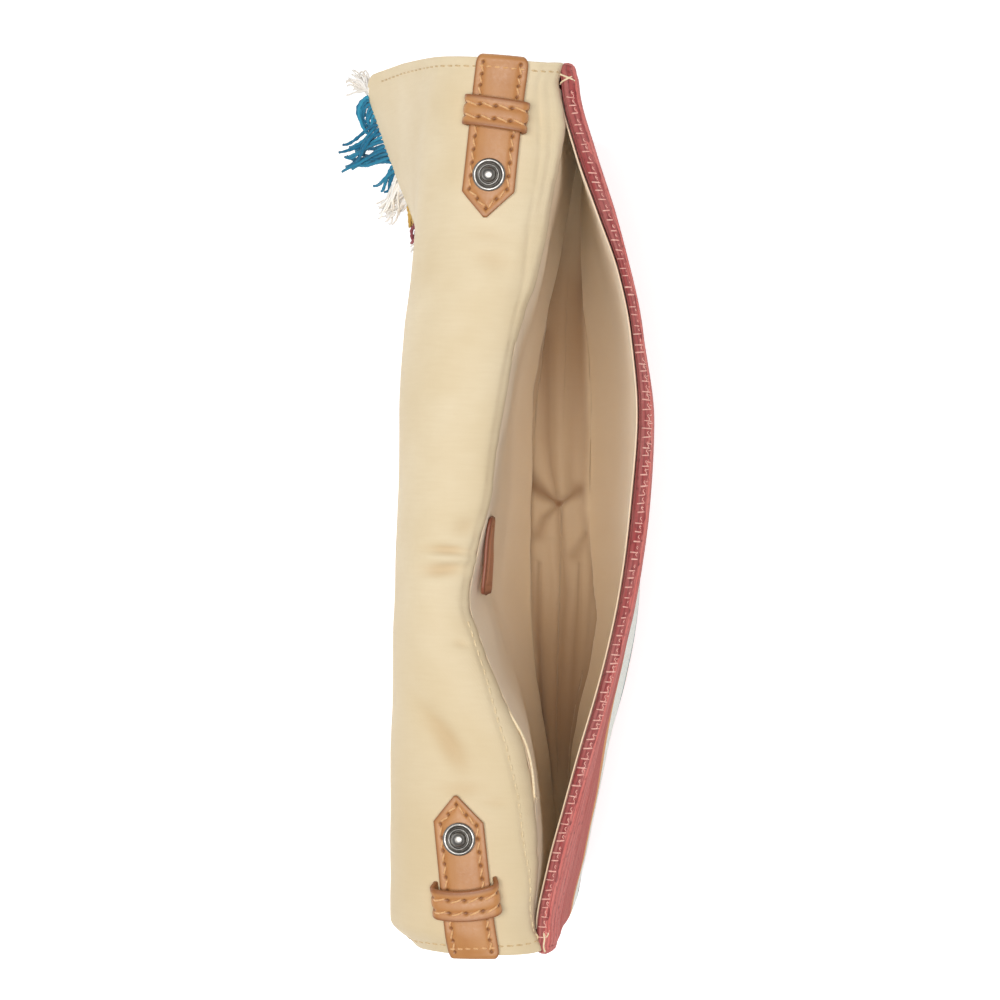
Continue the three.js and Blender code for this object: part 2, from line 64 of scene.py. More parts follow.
# One row for each section across the bag's width, with the same columns as the frame's source: front and
# back are the mouth's edges, base is half the resting width, seam the base's middle, lift the rise of the
# base's corners, belly and reach the front's bulge, hem its thickness, far and lean the hanging flap.
COLUMNS = ["x", "front", "back", "base", "seam", "lift", "belly", "reach", "hem", "far", "lean"]
SECTIONS = [
    [-150, -1.2, 1.6, 0.5, 1.4, 11, 8, 0.22, 4.5, 43, 0],
    [-141, -1.5, 4.8, 2.5, 2.6, 6, 13, 0.22, 4.2, 51, 0],
    [-120, 1.8, 2.8, 5, 5.2, 1, 16, 0.22, 4, 51.5, 0],
    [-100, 6.6, 4.2, 8, 7.2, 0, 15, 0.24, 4, 52, 0],
    [-80, 11.7, 8.2, 11, 8, 0, 12, 0.36, 4, 52.5, 0],
    [-62, 16.6, 16.6, 14, 8, 0, 10, 0.6, 3.8, 52.5, 0],
    [-46, 20.3, 23.4, 15.5, 8, 0, 8.5, 0.6, 3.7, 52.5, 0],
    [-31, 23.1, 28, 16, 8, 0, 6, 0.6, 4, 52.3, 0],
    [-16, 25.1, 25.8, 16, 8, 0, 3, 0.5, 4.4, 52, 0],
    [0, 26.5, 22.6, 16, 8, 0, 1, 0.35, 4.8, 52, 0],
    [30, 28.1, 18.8, 16, 8, 0, 1, 0.35, 4.4, 52, 0],
    [60, 25.1, 13.8, 14, 8, 0, 0, 0.35, 2.8, 50.5, 0],
    [80, 20.5, 8.4, 11, 8, 0, 0, 0.35, 2.8, 48.5, 1.5],
    [100, 12.9, 5, 8, 7, 0, 0.5, 0.3, 4.4, 48, 7.5],
    [120, 5.2, 2.4, 4.6, 6, 1, 1, 0.3, 5, 48, 17.5],
    [141, -0.6, 3.6, 2.5, 3.6, 6, 1, 0.3, 4.8, 48, 26.5],
    [150, -1.2, 1.6, 0.5, 2.6, 11, 0.5, 0.3, 4.5, 48, 31],
]

# Soft dents and swells of the flap: place along the width and away from the mouth, half sizes both ways,
# slant of the long axis in degrees, and height towards the lining side
FLAP_FOLDS = [
    (-78, 24, 17, 15, 0, -2.4),
    (-20, 58, 30, 20, 0, 1.2),
    (60, 62, 34, 22, 0, 1.4),
]

# Fringe blocks from the right end to the left end, each with the place where it stops
FRINGE_BLOCKS = [
    ("cream", 146), ("blue", 118), ("cream", 107), ("mustard", 101), ("maroon", 96),
    ("cream", 52), ("blue", 23), ("cream", -23), ("blue", -52), ("cream", -96),
    ("maroon", -101), ("mustard", -107), ("cream", -118), ("blue", -146), ("cream", -150),
]

# The two tabs: the end of the bag, the distance of the tab's middle from the mouth at the flap's edge and
# at its point, and its keeper: place, stretch across the tab, slant on it, and lean and sag of its roof
TABS = [
    {"name": "right", "side": 1, "start": 23.4, "point": 23.3,
     "keeper": 20.0, "stretch": 1.0, "tilt": 0.16, "lean": 0.0, "sag": 0.0},
    {"name": "left", "side": -1, "start": 24.6, "point": 29.6,
     "keeper": 21.6, "stretch": 1.1, "tilt": 0.128, "lean": 0.4, "sag": 1.4},
]

# Ripples of the cloth: seed, length along the width, length down the cloth, height
RIPPLES = {
    "flap": (11, 34, 26, 0.35),
    "flap_fine": (12, 7, 6, 0.09),
    "flap_broad": (13, 16, 11, 0.16),
    "side_row": (14, 8, 2.4, 0.14),
    "seam_strip": (15, 3.2, 9, 0.2),
    "right_end": (16, 22, 1.9, 0.35),
    "front": (21, 30, 26, 0.25),
    "back": (22, 30, 26, 0.3),
    "base": (33, 42, 5.5, 0.8),
    "hanging": (34, 17, 95, 0.7),
    "lining_fine": (35, 8, 14, 0.2),
    "crease": (36, 15, 0.4, 0.9),
}


# Curves and smooth noise
def smooth(t):
    t = np.clip(t, 0, 1)
    return t * t * (3 - 2 * t)


def ramp(value, start, end):
    """0 at start, rising smoothly to 1 at end, which may lie below start."""
    return smooth((value - start) / (end - start))


def bell(gap, half):
    """1 where the gap is 0, falling off on both sides over about half."""
    return np.exp(-((gap / half) ** 2))


def unit(vectors):
    return vectors / np.maximum(np.linalg.norm(vectors, axis=-1, keepdims=True), 1e-9)


def along_table(x, table):
    """The value at x of a table of (place, value) rows."""
    return np.interp(x, *zip(*table))


LATTICE = 97


def ripple(seed, u, v):
    """Smooth noise from -1 to 1 whose swells are about one unit of u and v wide."""
    lattice = np.random.default_rng(seed).uniform(-1, 1, (LATTICE, LATTICE))
    u, v = np.broadcast_arrays(np.asarray(u, float), np.asarray(v, float))
    left, low = np.floor(u).astype(int), np.floor(v).astype(int)
    across, up = smooth(u - left), smooth(v - low)

    def corner(i, j):
        return lattice[(left + i) % LATTICE, (low + j) % LATTICE]

    lower = corner(0, 0) * (1 - across) + corner(1, 0) * across
    upper = corner(0, 1) * (1 - across) + corner(1, 1) * across
    return lower * (1 - up) + upper * up


def rippled(name, x, s):
    seed, length_x, length_s, height = RIPPLES[name]
    return height * ripple(seed, x / length_x, s / length_s)


def column_curve(column):
    """A smooth curve through one column of the sections that never overshoots its rows."""
    xs = np.array([row[0] for row in SECTIONS], float)
    ys = np.array([row[COLUMNS.index(column)] for row in SECTIONS], float)
    steps = np.diff(ys) / np.diff(xs)
    slopes = np.zeros_like(ys)
    slopes[0] = steps[0]
    slopes[-1] = steps[-1]
    before, after = steps[:-1], steps[1:]
    same_way = before * after > 0
    total = np.where(same_way, before + after, 1)
    slopes[1:-1] = np.where(same_way, 2 * before * after / total, 0)

    def at(x):
        x = np.clip(x, xs[0], xs[-1])
        i = np.clip(np.searchsorted(xs, x, side="right") - 1, 0, len(xs) - 2)
        width = xs[i + 1] - xs[i]
        t = (x - xs[i]) / width
        rest = 1 - t
        rise = slopes[i] * t * rest * rest - slopes[i + 1] * t * t * rest
        return ys[i] * rest * rest * (1 + 2 * t) + ys[i + 1] * t * t * (3 - 2 * t) + rise * width

    return at


section = {column: column_curve(column) for column in COLUMNS[1:]}


# Profiles of the walls and the flap
CURVE_POINTS = 120


def wall_line(side, x):
    """A wall's profile in (y, z) from the mouth to the base seam. Side -1 is the front, +1 the back."""
    bottom = PANEL_THICK + section["lift"](x)
    base = section["base"](x)
    middle = section["seam"](x)
    shut = (x / HALF_WIDTH) ** 2
    front_belly = section["belly"](x)
    if side < 0:
        top = MOUTH_HEIGHT - FRONT_SAG * (1 - shut)
        edge = -section["front"](x)
        belly = front_belly
    else:
        top = MOUTH_HEIGHT
        edge = section["back"](x)
        belly = BACK_BELLY * (1 - shut) - front_belly * shut**SEAM_HOLD
    flat_end = middle + side * base * BASE_FLAT_SHARE
    controls = [
        (edge, top),
        (edge + side * belly, top - (top - bottom) * section["reach"](x)),
        (flat_end + side * base * BASE_ROUND, bottom),
        (flat_end, bottom),
    ]
    t = np.linspace(0, 1, CURVE_POINTS)[:, None]
    weights = [(1 - t) ** 3, 3 * t * (1 - t) ** 2, 3 * t * t * (1 - t), t**3]
    curve = sum(weight * np.array(control) for weight, control in zip(weights, controls))
    return np.vstack([curve, [middle + side * GAP / 2, bottom]])


def flap_line(x):
    """Profile of the flap in (y, z) from the mouth's back edge over the crest to the free edge."""
    start = section["back"](x)
    far = section["far"](x)
    span = far - start
    crest = start + span * CREST_SHARE
    rise = span * CREST_RISE
    foot = MOUTH_HEIGHT + GAP
    reach = far - crest
    lean = math.radians(section["lean"](x))
    turn_end = math.atan(math.tan(lean) * FLAP_TURN / reach)
    up = np.linspace(math.pi, math.pi / 2, CURVE_POINTS)
    over = np.linspace(math.pi / 2, turn_end, CURVE_POINTS)[1:]
    first = np.column_stack([crest + (crest - start) * np.cos(up), foot + rise * np.sin(up)])
    second = np.column_stack([crest + reach * np.cos(over), foot + rise + FLAP_TURN * (np.sin(over) - 1)])
    line = np.vstack([first, second])
    left = FLAP_LENGTH - distances(line)[-1]
    end = line[-1] + left * np.array([math.sin(lean), -math.cos(lean)])
    return np.vstack([line, end])


def distances(line):
    return np.concatenate([[0], np.cumsum(np.linalg.norm(np.diff(line, axis=0), axis=1))])


def on_line(x, line, wanted):
    along = distances(line)
    y = np.interp(wanted, along, line[:, 0])
    z = np.interp(wanted, along, line[:, 1])
    return np.column_stack([np.full(len(wanted), x), y, z])


def resampled(line, step):
    along = distances(line)
    wanted = np.linspace(0, along[-1], int(round(along[-1] / step)) + 1)
    return np.column_stack([np.interp(wanted, along, line[:, k]) for k in range(line.shape[1])])


def arc(centre, radius, start, end, count=12):
    angle = np.radians(np.linspace(start, end, count))
    return np.column_stack([centre[0] + radius * np.cos(angle), centre[1] + radius * np.sin(angle)])


# Sheets: grids of points with x along the first axis and the distance from the mouth along the second
def grid_normals(points):
    across = np.gradient(points, axis=0)
    along = np.gradient(points, axis=1)
    return unit(np.cross(across, along))


class Sheet:
    """A smooth sheet over even steps of x and s, on which other things are placed."""

    def __init__(self, xs, ss, points):
        self.xs = xs
        self.ss = ss
        self.points = points
        self.normals = grid_normals(points)

    def at(self, x, s, height=0.0):
        x, s, height = np.broadcast_arrays(*(np.asarray(value, float) for value in (x, s, height)))
        inside_x = np.clip(x, self.xs[0], self.xs[-1])
        inside_s = np.clip(s, self.ss[0], self.ss[-1])
        i_at = (inside_x - self.xs[0]) / (self.xs[1] - self.xs[0])
        j_at = (inside_s - self.ss[0]) / (self.ss[1] - self.ss[0])
        i = np.clip(i_at.astype(int), 0, len(self.xs) - 2)
        j = np.clip(j_at.astype(int), 0, len(self.ss) - 2)
        p = (i_at - i)[..., None]
        q = (j_at - j)[..., None]

        def blend(grid):
            low = grid[i, j] * (1 - p) + grid[i + 1, j] * p
            high = grid[i, j + 1] * (1 - p) + grid[i + 1, j + 1] * p
            return low * (1 - q) + high * q

        place = blend(self.points) + unit(blend(self.normals)) * height[..., None]
        place[..., 0] += x - inside_x
        return place


# Meshes
def perimeter(rows, columns):
    """Grid places round the edge in order, and the neighbour inside each one."""
    i = np.arange(rows)
    j = np.arange(columns)
    path = [(a, 0) for a in i[:-1]]
    path += [(rows - 1, b) for b in j[:-1]]
    path += [(a, columns - 1) for a in i[:0:-1]]
    path += [(0, b) for b in j[:0:-1]]
    path = np.array(path)
    inside = np.column_stack([np.clip(path[:, 0], 1, rows - 2), np.clip(path[:, 1], 1, columns - 2)])
    return path, inside


def grid_quads(rows, columns, start=0):
    i, j = np.meshgrid(np.arange(rows - 1), np.arange(columns - 1), indexing="ij")
    a = start + (i * columns + j).ravel()
    return np.column_stack([a, a + columns, a + columns + 1, a + 1])


def ring_quads(first, second):
    return np.column_stack([first, np.roll(first, -1), np.roll(second, -1), second])


def rings_quads(index):
    """Quads between each ring of an index grid and the next one."""
    return np.vstack([ring_quads(first, second) for first, second in zip(index, index[1:])])


def facing_out(points, groups):
    """Groups of faces in the order that gives the closed mesh a positive volume."""
    volume = 0.0
    for faces in groups:
        a = points[faces[:, 0]]
        for k in range(1, faces.shape[1] - 1):
            volume += np.sum(a * np.cross(points[faces[:, k]], points[faces[:, k + 1]]))
    return groups if volume > 0 else [faces[:, ::-1] for faces in groups]


RIM_ANGLES = np.radians([-60, -30, 0, 30, 60])


def closed_shell(low, high, uv, bulge=1.0):
    """Closed mesh between two grids, with its rim rounded outwards by bulge times half its thickness."""
    rows, columns = low.shape[:2]
    count = rows * columns
    points = [low.reshape(-1, 3), high.reshape(-1, 3)]
    uvs = [uv.reshape(-1, 2), uv.reshape(-1, 2)]
    quads = [grid_quads(rows, columns, count), grid_quads(rows, columns)[:, ::-1]]
    path, inside = perimeter(rows, columns)
    edge_low = low[path[:, 0], path[:, 1]]
    edge_high = high[path[:, 0], path[:, 1]]
    middle = (edge_low + edge_high) / 2
    half = (edge_high - edge_low) / 2
    thick = np.linalg.norm(half, axis=1, keepdims=True)
    inner = (low + high)[inside[:, 0], inside[:, 1]] / 2
    out = middle - inner
    out = unit(out - unit(half) * np.sum(out * unit(half), axis=1, keepdims=True))
    ring = path[:, 0] * columns + path[:, 1]
    before = ring
    for step, angle in enumerate(RIM_ANGLES):
        points.append(middle + half * math.sin(angle) + out * thick * bulge * math.cos(angle))
        uvs.append(uv[path[:, 0], path[:, 1]])
        now = 2 * count + step * len(ring) + np.arange(len(ring))
        quads.append(ring_quads(before, now))
        before = now
    quads.append(ring_quads(before, ring + count))
    points = np.vstack(points)
    return points, facing_out(points, [np.vstack(quads)]), np.vstack(uvs)


def tubes(paths, radii, ups, sides=6, ply=0.0, turns=0.0):
    """Closed tubes along paths of one length. ply makes the section two-lobed, as twisted yarn is."""
    count, steps = paths.shape[:2]
    radii = np.broadcast_to(radii, (count, steps))
    ups = np.broadcast_to(ups, paths.shape)
    along = unit(np.gradient(paths, axis=1))
    side = unit(np.cross(along, ups))
    top = np.cross(side, along)
    angle = np.arange(sides) * 2 * math.pi / sides
    twist = np.linspace(0, 2 * math.pi * turns, steps)[None, :, None]
    lobes = 1 + ply * np.cos(2 * (angle[None, None, :] - twist))
    reach = radii[:, :, None] * lobes
    ring = side[:, :, None, :] * np.cos(angle)[:, None] + top[:, :, None, :] * np.sin(angle)[:, None]
    points = (paths[:, :, None, :] + ring * reach[..., None]).reshape(-1, 3)
    index = np.arange(count * steps * sides).reshape(count, steps, sides)
    first = index[:, :-1, :]
    second = index[:, 1:, :]
    quads = np.stack([first, np.roll(first, -1, 2), np.roll(second, -1, 2), second], axis=-1)
    caps = np.vstack([index[:, 0, ::-1], index[:, -1, :]])
    return points, [quads.reshape(-1, 4), caps]


def joined(parts):
    """One mesh from several lists of points and faces."""
    points, faces = [], {}
    start = 0
    for part_points, part_faces in parts:
        points.append(part_points)
        for group in part_faces:
            faces.setdefault(group.shape[1], []).append(group + start)
        start += len(part_points)
    return np.vstack(points), [np.vstack(groups) for groups in faces.values()]


def add_object(name, data):
    thing = bpy.data.objects.new(name, data)
    bpy.context.scene.collection.objects.link(thing)
    return thing


def add_piece(name, mesh_data, material, replaces=(), uv=None, values=None):
    """A mesh object in metres that rides on the bag and stands for the named nodes."""
    points, faces = mesh_data
    mesh = bpy.data.meshes.new(name)
    corners = np.concatenate([group.ravel() for group in faces])
    sizes = np.concatenate([np.full(len(group), group.shape[1]) for group in faces])
    mesh.vertices.add(len(points))
    mesh.vertices.foreach_set("co", (np.asarray(points) * MM).astype(np.float32).ravel())
    mesh.loops.add(len(corners))
    mesh.loops.foreach_set("vertex_index", corners.astype(np.int32))
    mesh.polygons.add(len(sizes))
    starts = np.concatenate([[0], np.cumsum(sizes)[:-1]])
    mesh.polygons.foreach_set("loop_start", starts.astype(np.int32))
    mesh.polygons.foreach_set("use_smooth", np.ones(len(sizes), bool))
    if uv is not None:
        layer = mesh.uv_layers.new(name="cloth")
        layer.data.foreach_set("uv", uv[corners].astype(np.float32).ravel())
    for key, value in (values or {}).items():
        attribute = mesh.attributes.new(key, "FLOAT", "POINT")
        attribute.data.foreach_set("value", np.asarray(value, np.float32))
    mesh.update(calc_edges=True)
    mesh.validate()
    mesh.materials.append(material)
    piece = add_object(name, mesh)
    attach(piece, "root")
    if replaces:
        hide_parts(*replaces)
    return piece


def add_cloth(node, shell, material, dark=None):
    """The cloth piece that stands for a node. dark is its painted shade in creases, folds and shaded
    places, over the shell's grid.
    """
    points, faces, uv = shell
    values = {}
    if dark is not None:
        # The crease attribute carries painted shade
        values["crease"] = np.zeros(len(points))
        values["crease"][: 2 * dark.size] = np.tile(dark.ravel(), 2)
    return add_piece(node + "_cloth", (points, faces), material, [node], uv, values)


def add_leather(node, mesh_data, material, worn, dark):
    """The leather piece that stands for a node, with how worn its places are and the painted shade in its
    stitch holes.
    """
    values = {"edge": worn, "hole": dark}
    add_piece(node + "_leather", mesh_data, material, [node], None, values)


# Materials
NOISE_SPAN = (0.3, 0.7)


class Paint:
    """A material's nodes, with short calls for those that the finishes use."""

    def __init__(self, name):
        self.material = bpy.data.materials.new(name)
        self.material.use_nodes = True
        self.tree = self.material.node_tree
        self.shader = self.tree.nodes["Principled BSDF"]

    def feed(self, socket, value):
        if isinstance(value, bpy.types.NodeSocket):
            self.tree.links.new(value, socket)
        else:
            socket.default_value = value

    def node(self, kind, inputs, output=0, **settings):
        node = self.tree.nodes.new(kind)
        for key, value in settings.items():
            setattr(node, key, value)
        for key, value in inputs.items():
            self.feed(node.inputs[key], value)
        return node.outputs[output]

    def math(self, operation, a, b=0.0):
        return self.node("ShaderNodeMath", {0: a, 1: b}, operation=operation)

    def weighted(self, *terms):
        """The sum of values times their weights."""
        total = self.math("MULTIPLY", *terms[0])
        for value, weight in terms[1:]:
            total = self.math("ADD", total, self.math("MULTIPLY", value, weight))
        return total

    def wave(self, *terms):
        """The sine of a sum of places, each divided by its wavelength."""
        turns = [(place, 2 * math.pi / length) for place, length in terms]
        return self.math("SINE", self.weighted(*turns))

    def cloth_place(self):
        """The place on a piece of cloth in millimetres, along the width and away from the mouth."""
        vector = self.node("ShaderNodeTexCoord", {}, "UV")
        u = self.node("ShaderNodeSeparateXYZ", {0: vector}, 0)
        v = self.node("ShaderNodeSeparateXYZ", {0: vector}, 1)
        return vector, u, v

    def object_place(self):
        return self.node("ShaderNodeTexCoord", {}, "Object")

    def noise(self, vector, scale=1.0, detail=2.0, roughness=0.5, stretch=None):
        if stretch:
            vector = self.node("ShaderNodeVectorMath", {0: vector, 1: stretch}, operation="MULTIPLY")
        inputs = {"Vector": vector, "Scale": scale, "Detail": detail, "Roughness": roughness}
        return self.node("ShaderNodeTexNoise", inputs, "Fac")

    def value(self, name):
        return self.node("ShaderNodeAttribute", {}, "Fac", attribute_name=name)

    def spread(self, value, span=NOISE_SPAN, low=0.0, high=1.0):
        """A value whose span is stretched to run from low to high."""
        inputs = {"Value": value, "From Min": span[0], "From Max": span[1], "To Min": low, "To Max": high}
        return self.node("ShaderNodeMapRange", inputs)

    def mix(self, factor, a, b, blend="MIX"):
        """Two colours mixed by a factor. A mix node takes them in its sockets 6 and 7."""
        inputs = {0: factor, 6: a, 7: b}
        return self.node("ShaderNodeMix", inputs, 2, data_type="RGBA", blend_type=blend)

    def stripes(self, factor, stops):
        node = self.tree.nodes.new("ShaderNodeValToRGB")
        node.color_ramp.interpolation = "CONSTANT"
        elements = node.color_ramp.elements
        while len(elements) < len(stops):
            elements.new(1.0)
        for element, (place, shade) in zip(elements, stops):
            element.position = place
            element.color = shade
        self.feed(node.inputs[0], factor)
        return node.outputs[0]

    def bump(self, height, depth, strength):
        inputs = {"Height": height, "Distance": depth * MM, "Strength": strength}
        self.feed(self.shader.inputs["Normal"], self.node("ShaderNodeBump", inputs))

    def finish(self, colour, roughness, **sockets):
        self.feed(self.shader.inputs["Base Color"], colour)
        self.feed(self.shader.inputs["Roughness"], roughness)
        for name, value in sockets.items():
            self.feed(self.shader.inputs[name.replace("_", " ")], value)
        return self.material


def colour(red, green, blue):
    """A colour given as it looks on screen, from 0 to 255, turned linear."""
    channels = [channel / 255 for channel in (red, green, blue)]
    linear = [c / 12.92 if c <= 0.04045 else ((c + 0.055) / 1.055) ** 2.4 for c in channels]
    return (*linear, 1.0)


def colours(*triples):
    return [colour(*triple) for triple in triples]


# Cotton twill: pitch and slant of its ribs, and the span along the width over which it turns darker
# towards the left end
TWILL_PITCH = 0.62
TWILL_SLANT = 1.3
SLUB_STRETCH = (0.9, 0.12, 1)
SLUB_SPAN = (0.35, 0.75)
LEFT_SPAN = (0.0, -120.0)
FUZZ = colour(252, 238, 218)


def cotton_material(name, shades, fuzz_share):
    dark, pale, streak, painted_shade_colour = shades
    paint = Paint(name)
    vector, u, v = paint.cloth_place()
    twill = paint.wave((u, TWILL_PITCH), (v, TWILL_PITCH / TWILL_SLANT))
    slub = paint.noise(vector, detail=3.0, stretch=SLUB_STRETCH)
    cloud = paint.noise(vector, scale=0.035, detail=3.0)
    fuzz = paint.noise(vector, scale=1.6)
    ground = paint.mix(paint.spread(cloud), dark, pale)
    ground = paint.mix(paint.spread(u, LEFT_SPAN, high=0.45), ground, streak)
    streaked = paint.mix(paint.spread(slub, SLUB_SPAN, high=0.16), ground, streak)
    # Painted shade: the crease attribute darkens creases, folds and shaded places towards the painted
    # shade colour
    with_painted_shade = paint.mix(paint.value("crease"), streaked, painted_shade_colour)
    paint.bump(paint.weighted((twill, 0.25), (fuzz, 0.9), (slub, 0.4)), depth=0.07, strength=0.6)
    roughness = paint.spread(fuzz, low=0.62, high=0.8)
    return paint.finish(with_painted_shade, roughness, Sheen_Weight=fuzz_share, Sheen_Roughness=0.6, Sheen_Tint=FUZZ)


# Stripes of the woven cloth, by distance from the mouth or from the flap's fold
RED = colour(176, 78, 80)
DARK_RED = colour(158, 66, 66)
ROSE = colour(206, 105, 98)
ORANGE = colour(222, 150, 84)
BRICK = colour(188, 76, 66)
MINT = colour(245, 247, 239)
CREAM = colour(236, 229, 212)
TEAL = colour(28, 120, 148)
MUSTARD = colour(200, 156, 66)
MAROON = colour(120, 44, 54)
WALL_STRIPES = [
    (0, DARK_RED), (2.2, ROSE), (8, BRICK), (33.5, ORANGE), (41, MINT), (84, TEAL), (91, CREAM),
    (98, MUSTARD), (103, RED), (130, MAROON), (135, CREAM), (146, TEAL), (161, CREAM),
    (167, ORANGE), (172, RED),
]
FLAP_STRIPES = [
    (0, RED), (14, ORANGE), (17, CREAM), (30, TEAL), (44, CREAM), (49, MUSTARD), (54, MAROON),
    (60, RED), (84, ORANGE), (87, MINT), (99, MAROON), (103, CREAM),
]
WALL_STRIPED = 220.0
FLAP_STRIPED = 112.0
STRIPE_SHIFT = 4.0
STRIPE_WANDER = 0.7
WEFT_PITCH = 1.25
WARP_PITCH = 2.1
WANDER_STRETCH = (0.16, 0.9, 1)
YARN_STRETCH = (0.055, 0.8, 1)
YARN_SPAN = (0.35, 0.75)
FLECK_STRETCH = (0.5, 1.1, 1)
FLECK_SPAN = (0.56, 0.74)
RIB_SPAN = (0.0, 0.5)
YARN_PALE = colour(240, 214, 200)
FLECK_DARK = colour(92, 40, 42)


def woven_material(name, stripes, length):
    paint = Paint(name)
    vector, u, v = paint.cloth_place()
    row = paint.math("FLOOR", paint.math("DIVIDE", v, WEFT_PITCH))
    wander = paint.noise(vector, stretch=WANDER_STRETCH)
    shift = paint.spread(wander, low=STRIPE_SHIFT - STRIPE_WANDER, high=STRIPE_SHIFT + STRIPE_WANDER)
    shifted = paint.math("DIVIDE", paint.math("ADD", v, shift), length)
    striped = paint.stripes(shifted, [(place / length, shade) for place, shade in stripes])
    yarn = paint.noise(vector, detail=3.0, roughness=0.6, stretch=YARN_STRETCH)
    fleck = paint.noise(vector, stretch=FLECK_STRETCH)
    light = paint.mix(paint.spread(yarn, YARN_SPAN, high=0.17), striped, YARN_PALE)
    dark = paint.mix(paint.spread(fleck, FLECK_SPAN, high=0.5), light, FLECK_DARK)
    over = paint.wave((u, WARP_PITCH), (row, 2.0))
    rib = paint.math("ABSOLUTE", paint.wave((v, 2 * WEFT_PITCH)))
    # Painted shade in the grooves between the weft ribs, multiplied into the colour
    shade = paint.spread(rib, RIB_SPAN, low=0.72)
    rib_painted_shade = paint.node("ShaderNodeCombineColor", {0: shade, 1: shade, 2: shade})
    paint.bump(paint.weighted((over, 0.35), (rib, 1.0), (fleck, 0.8)), depth=0.32, strength=0.8)
    return paint.finish(paint.mix(1.0, dark, rib_painted_shade, "MULTIPLY"), roughness=0.9)


GRAIN_SCALE = 1500.0
HOLE_SHADE_BROWN = colour(126, 76, 38)


def leather_material(name, dark, pale, worn_shade):
    paint = Paint(name)
    place = paint.object_place()
    grain = paint.node("ShaderNodeTexVoronoi", {"Vector": place, "Scale": GRAIN_SCALE}, "Distance")
    pores = paint.noise(place, scale=900.0, detail=3.0, roughness=0.6)
    cloud = paint.noise(place, scale=90.0, detail=3.0)
    tan = paint.mix(paint.spread(cloud), dark, pale)
    burnt = paint.mix(paint.value("edge"), tan, worn_shade)
    # Painted shade in the stitch holes, from the hole attribute
    hole_shaded = paint.mix(paint.value("hole"), burnt, HOLE_SHADE_BROWN)
    paint.bump(paint.weighted((grain, 0.5), (pores, 0.6)), depth=0.07, strength=0.5)
    roughness = paint.spread(pores, low=0.42, high=0.56)
    return paint.finish(hole_shaded, roughness, Coat_Weight=0.08, Coat_Roughness=0.4)


def thread_material(name, shades):
    shade, dark = colours(*shades)
    paint = Paint(name)
    fibre = paint.noise(paint.object_place(), scale=1400.0)
    paint.bump(fibre, depth=0.1, strength=0.6)
    mixed = paint.mix(paint.spread(fibre), shade, dark)
    return paint.finish(mixed, roughness=0.75, Sheen_Weight=0.2)


NICKEL_SHADES = colours((160, 157, 152), (112, 108, 103), (92, 88, 83))
TARNISH_SPAN = (0.35, 0.75)


def metal_material(name):
    bright, dull, deep = NICKEL_SHADES
    paint = Paint(name)
    tarnish = paint.noise(paint.object_place(), scale=600.0, detail=4.0, roughness=0.6)
    mottled = paint.mix(paint.spread(tarnish, TARNISH_SPAN), bright, dull)
    aged = paint.mix(paint.value("groove"), mottled, deep)
    paint.bump(tarnish, depth=0.03, strength=0.4)
    return paint.finish(aged, paint.spread(tarnish, low=0.3, high=0.45), Metallic=1.0)


FIBRE_SPAN = (0.4, 0.75)


def yarn_material(name, shades):
    shade, pale = colours(*shades)
    paint = Paint(name)
    fibre = paint.noise(paint.object_place(), scale=900.0, detail=3.0, roughness=0.6)
    mixed = paint.mix(paint.value("tint"), shade, pale)
    fuzzy = paint.mix(paint.spread(fibre, FIBRE_SPAN, high=0.35), mixed, pale)
    paint.bump(fibre, depth=0.25, strength=0.7)
    return paint.finish(fuzzy, roughness=0.92, Sheen_Weight=0.08, Sheen_Roughness=0.5)


FLOOR_GLOW = 0.49
FLOOR_SHADES = colours((251, 251, 251), (253, 253, 253))
WHITE = (1, 1, 1, 1)


def floor_material(name):
    paint = Paint(name)
    pale = paint.mix(paint.noise(paint.object_place(), scale=2.0), *FLOOR_SHADES)
    return paint.finish(pale, roughness=0.8, Emission_Color=WHITE, Emission_Strength=FLOOR_GLOW)


# Shades of the cottons and leathers: dark, pale, streak or worn edge, and the painted shade colour of a
# cotton's creases and folds
COTTON_SHADES = colours((219, 199, 161), (227, 210, 177), (207, 183, 141), (196, 160, 110))
# Painted light: the inner cotton is the flap lining's cloth with brighter colours, to light up the
# pouch's inside
INNER_BRIGHTENED_SHADES = colours((250, 228, 193), (253, 234, 203), (243, 214, 173), (140, 92, 48))
LEATHER_SHADES = colours((181, 123, 71), (191, 135, 81), (150, 94, 52))
PATCH_SHADES = colours((200, 134, 106), (212, 146, 116), (140, 82, 60))

# Shade and dark shade of each thread, shade and pale shade of each yarn
THREAD_SHADES = {
    "cream": ((238, 222, 190), (222, 198, 158)),
    "seam": ((226, 208, 172), (204, 182, 142)),
    "olive": ((216, 190, 146), (188, 158, 112)),
    "heading": ((236, 230, 220), (214, 206, 194)),
    "tan": ((228, 180, 128), (208, 154, 98)),
    "pink": ((241, 195, 179), (222, 152, 140)),
}
YARN_SHADES = {
    "cream": ((238, 228, 214), (250, 246, 240)),
    "blue": ((8, 98, 134), (52, 150, 182)),
    "mustard": ((196, 152, 62), (222, 188, 112)),
    "maroon": ((124, 48, 60), (164, 90, 96)),
}

cotton = cotton_material("cotton_twill", COTTON_SHADES, fuzz_share=0.25)
# Painted light: a brighter copy of the flap's cotton for the inside of the pouch
brightened_inner_cotton = cotton_material("cotton_inside_brightened", INNER_BRIGHTENED_SHADES, fuzz_share=1.0)
wall_weave = woven_material("woven_wall", WALL_STRIPES, WALL_STRIPED)
flap_weave = woven_material("woven_flap", FLAP_STRIPES, FLAP_STRIPED)
leather = leather_material("tan_leather", *LEATHER_SHADES)
patch_leather = leather_material("patch_leather", *PATCH_SHADES)
nickel = metal_material("antique_nickel")
threads = {kind: thread_material(kind + "_thread", shades) for kind, shades in THREAD_SHADES.items()}
yarns = {kind: yarn_material("yarn_" + kind, shades) for kind, shades in YARN_SHADES.items()}


# The flap's surface with its folds
FLAP_COLUMNS = 351
FLAP_LINES = 125
FLAP_CORNER = 9.0
END_DRAWN_FROM = 135.0

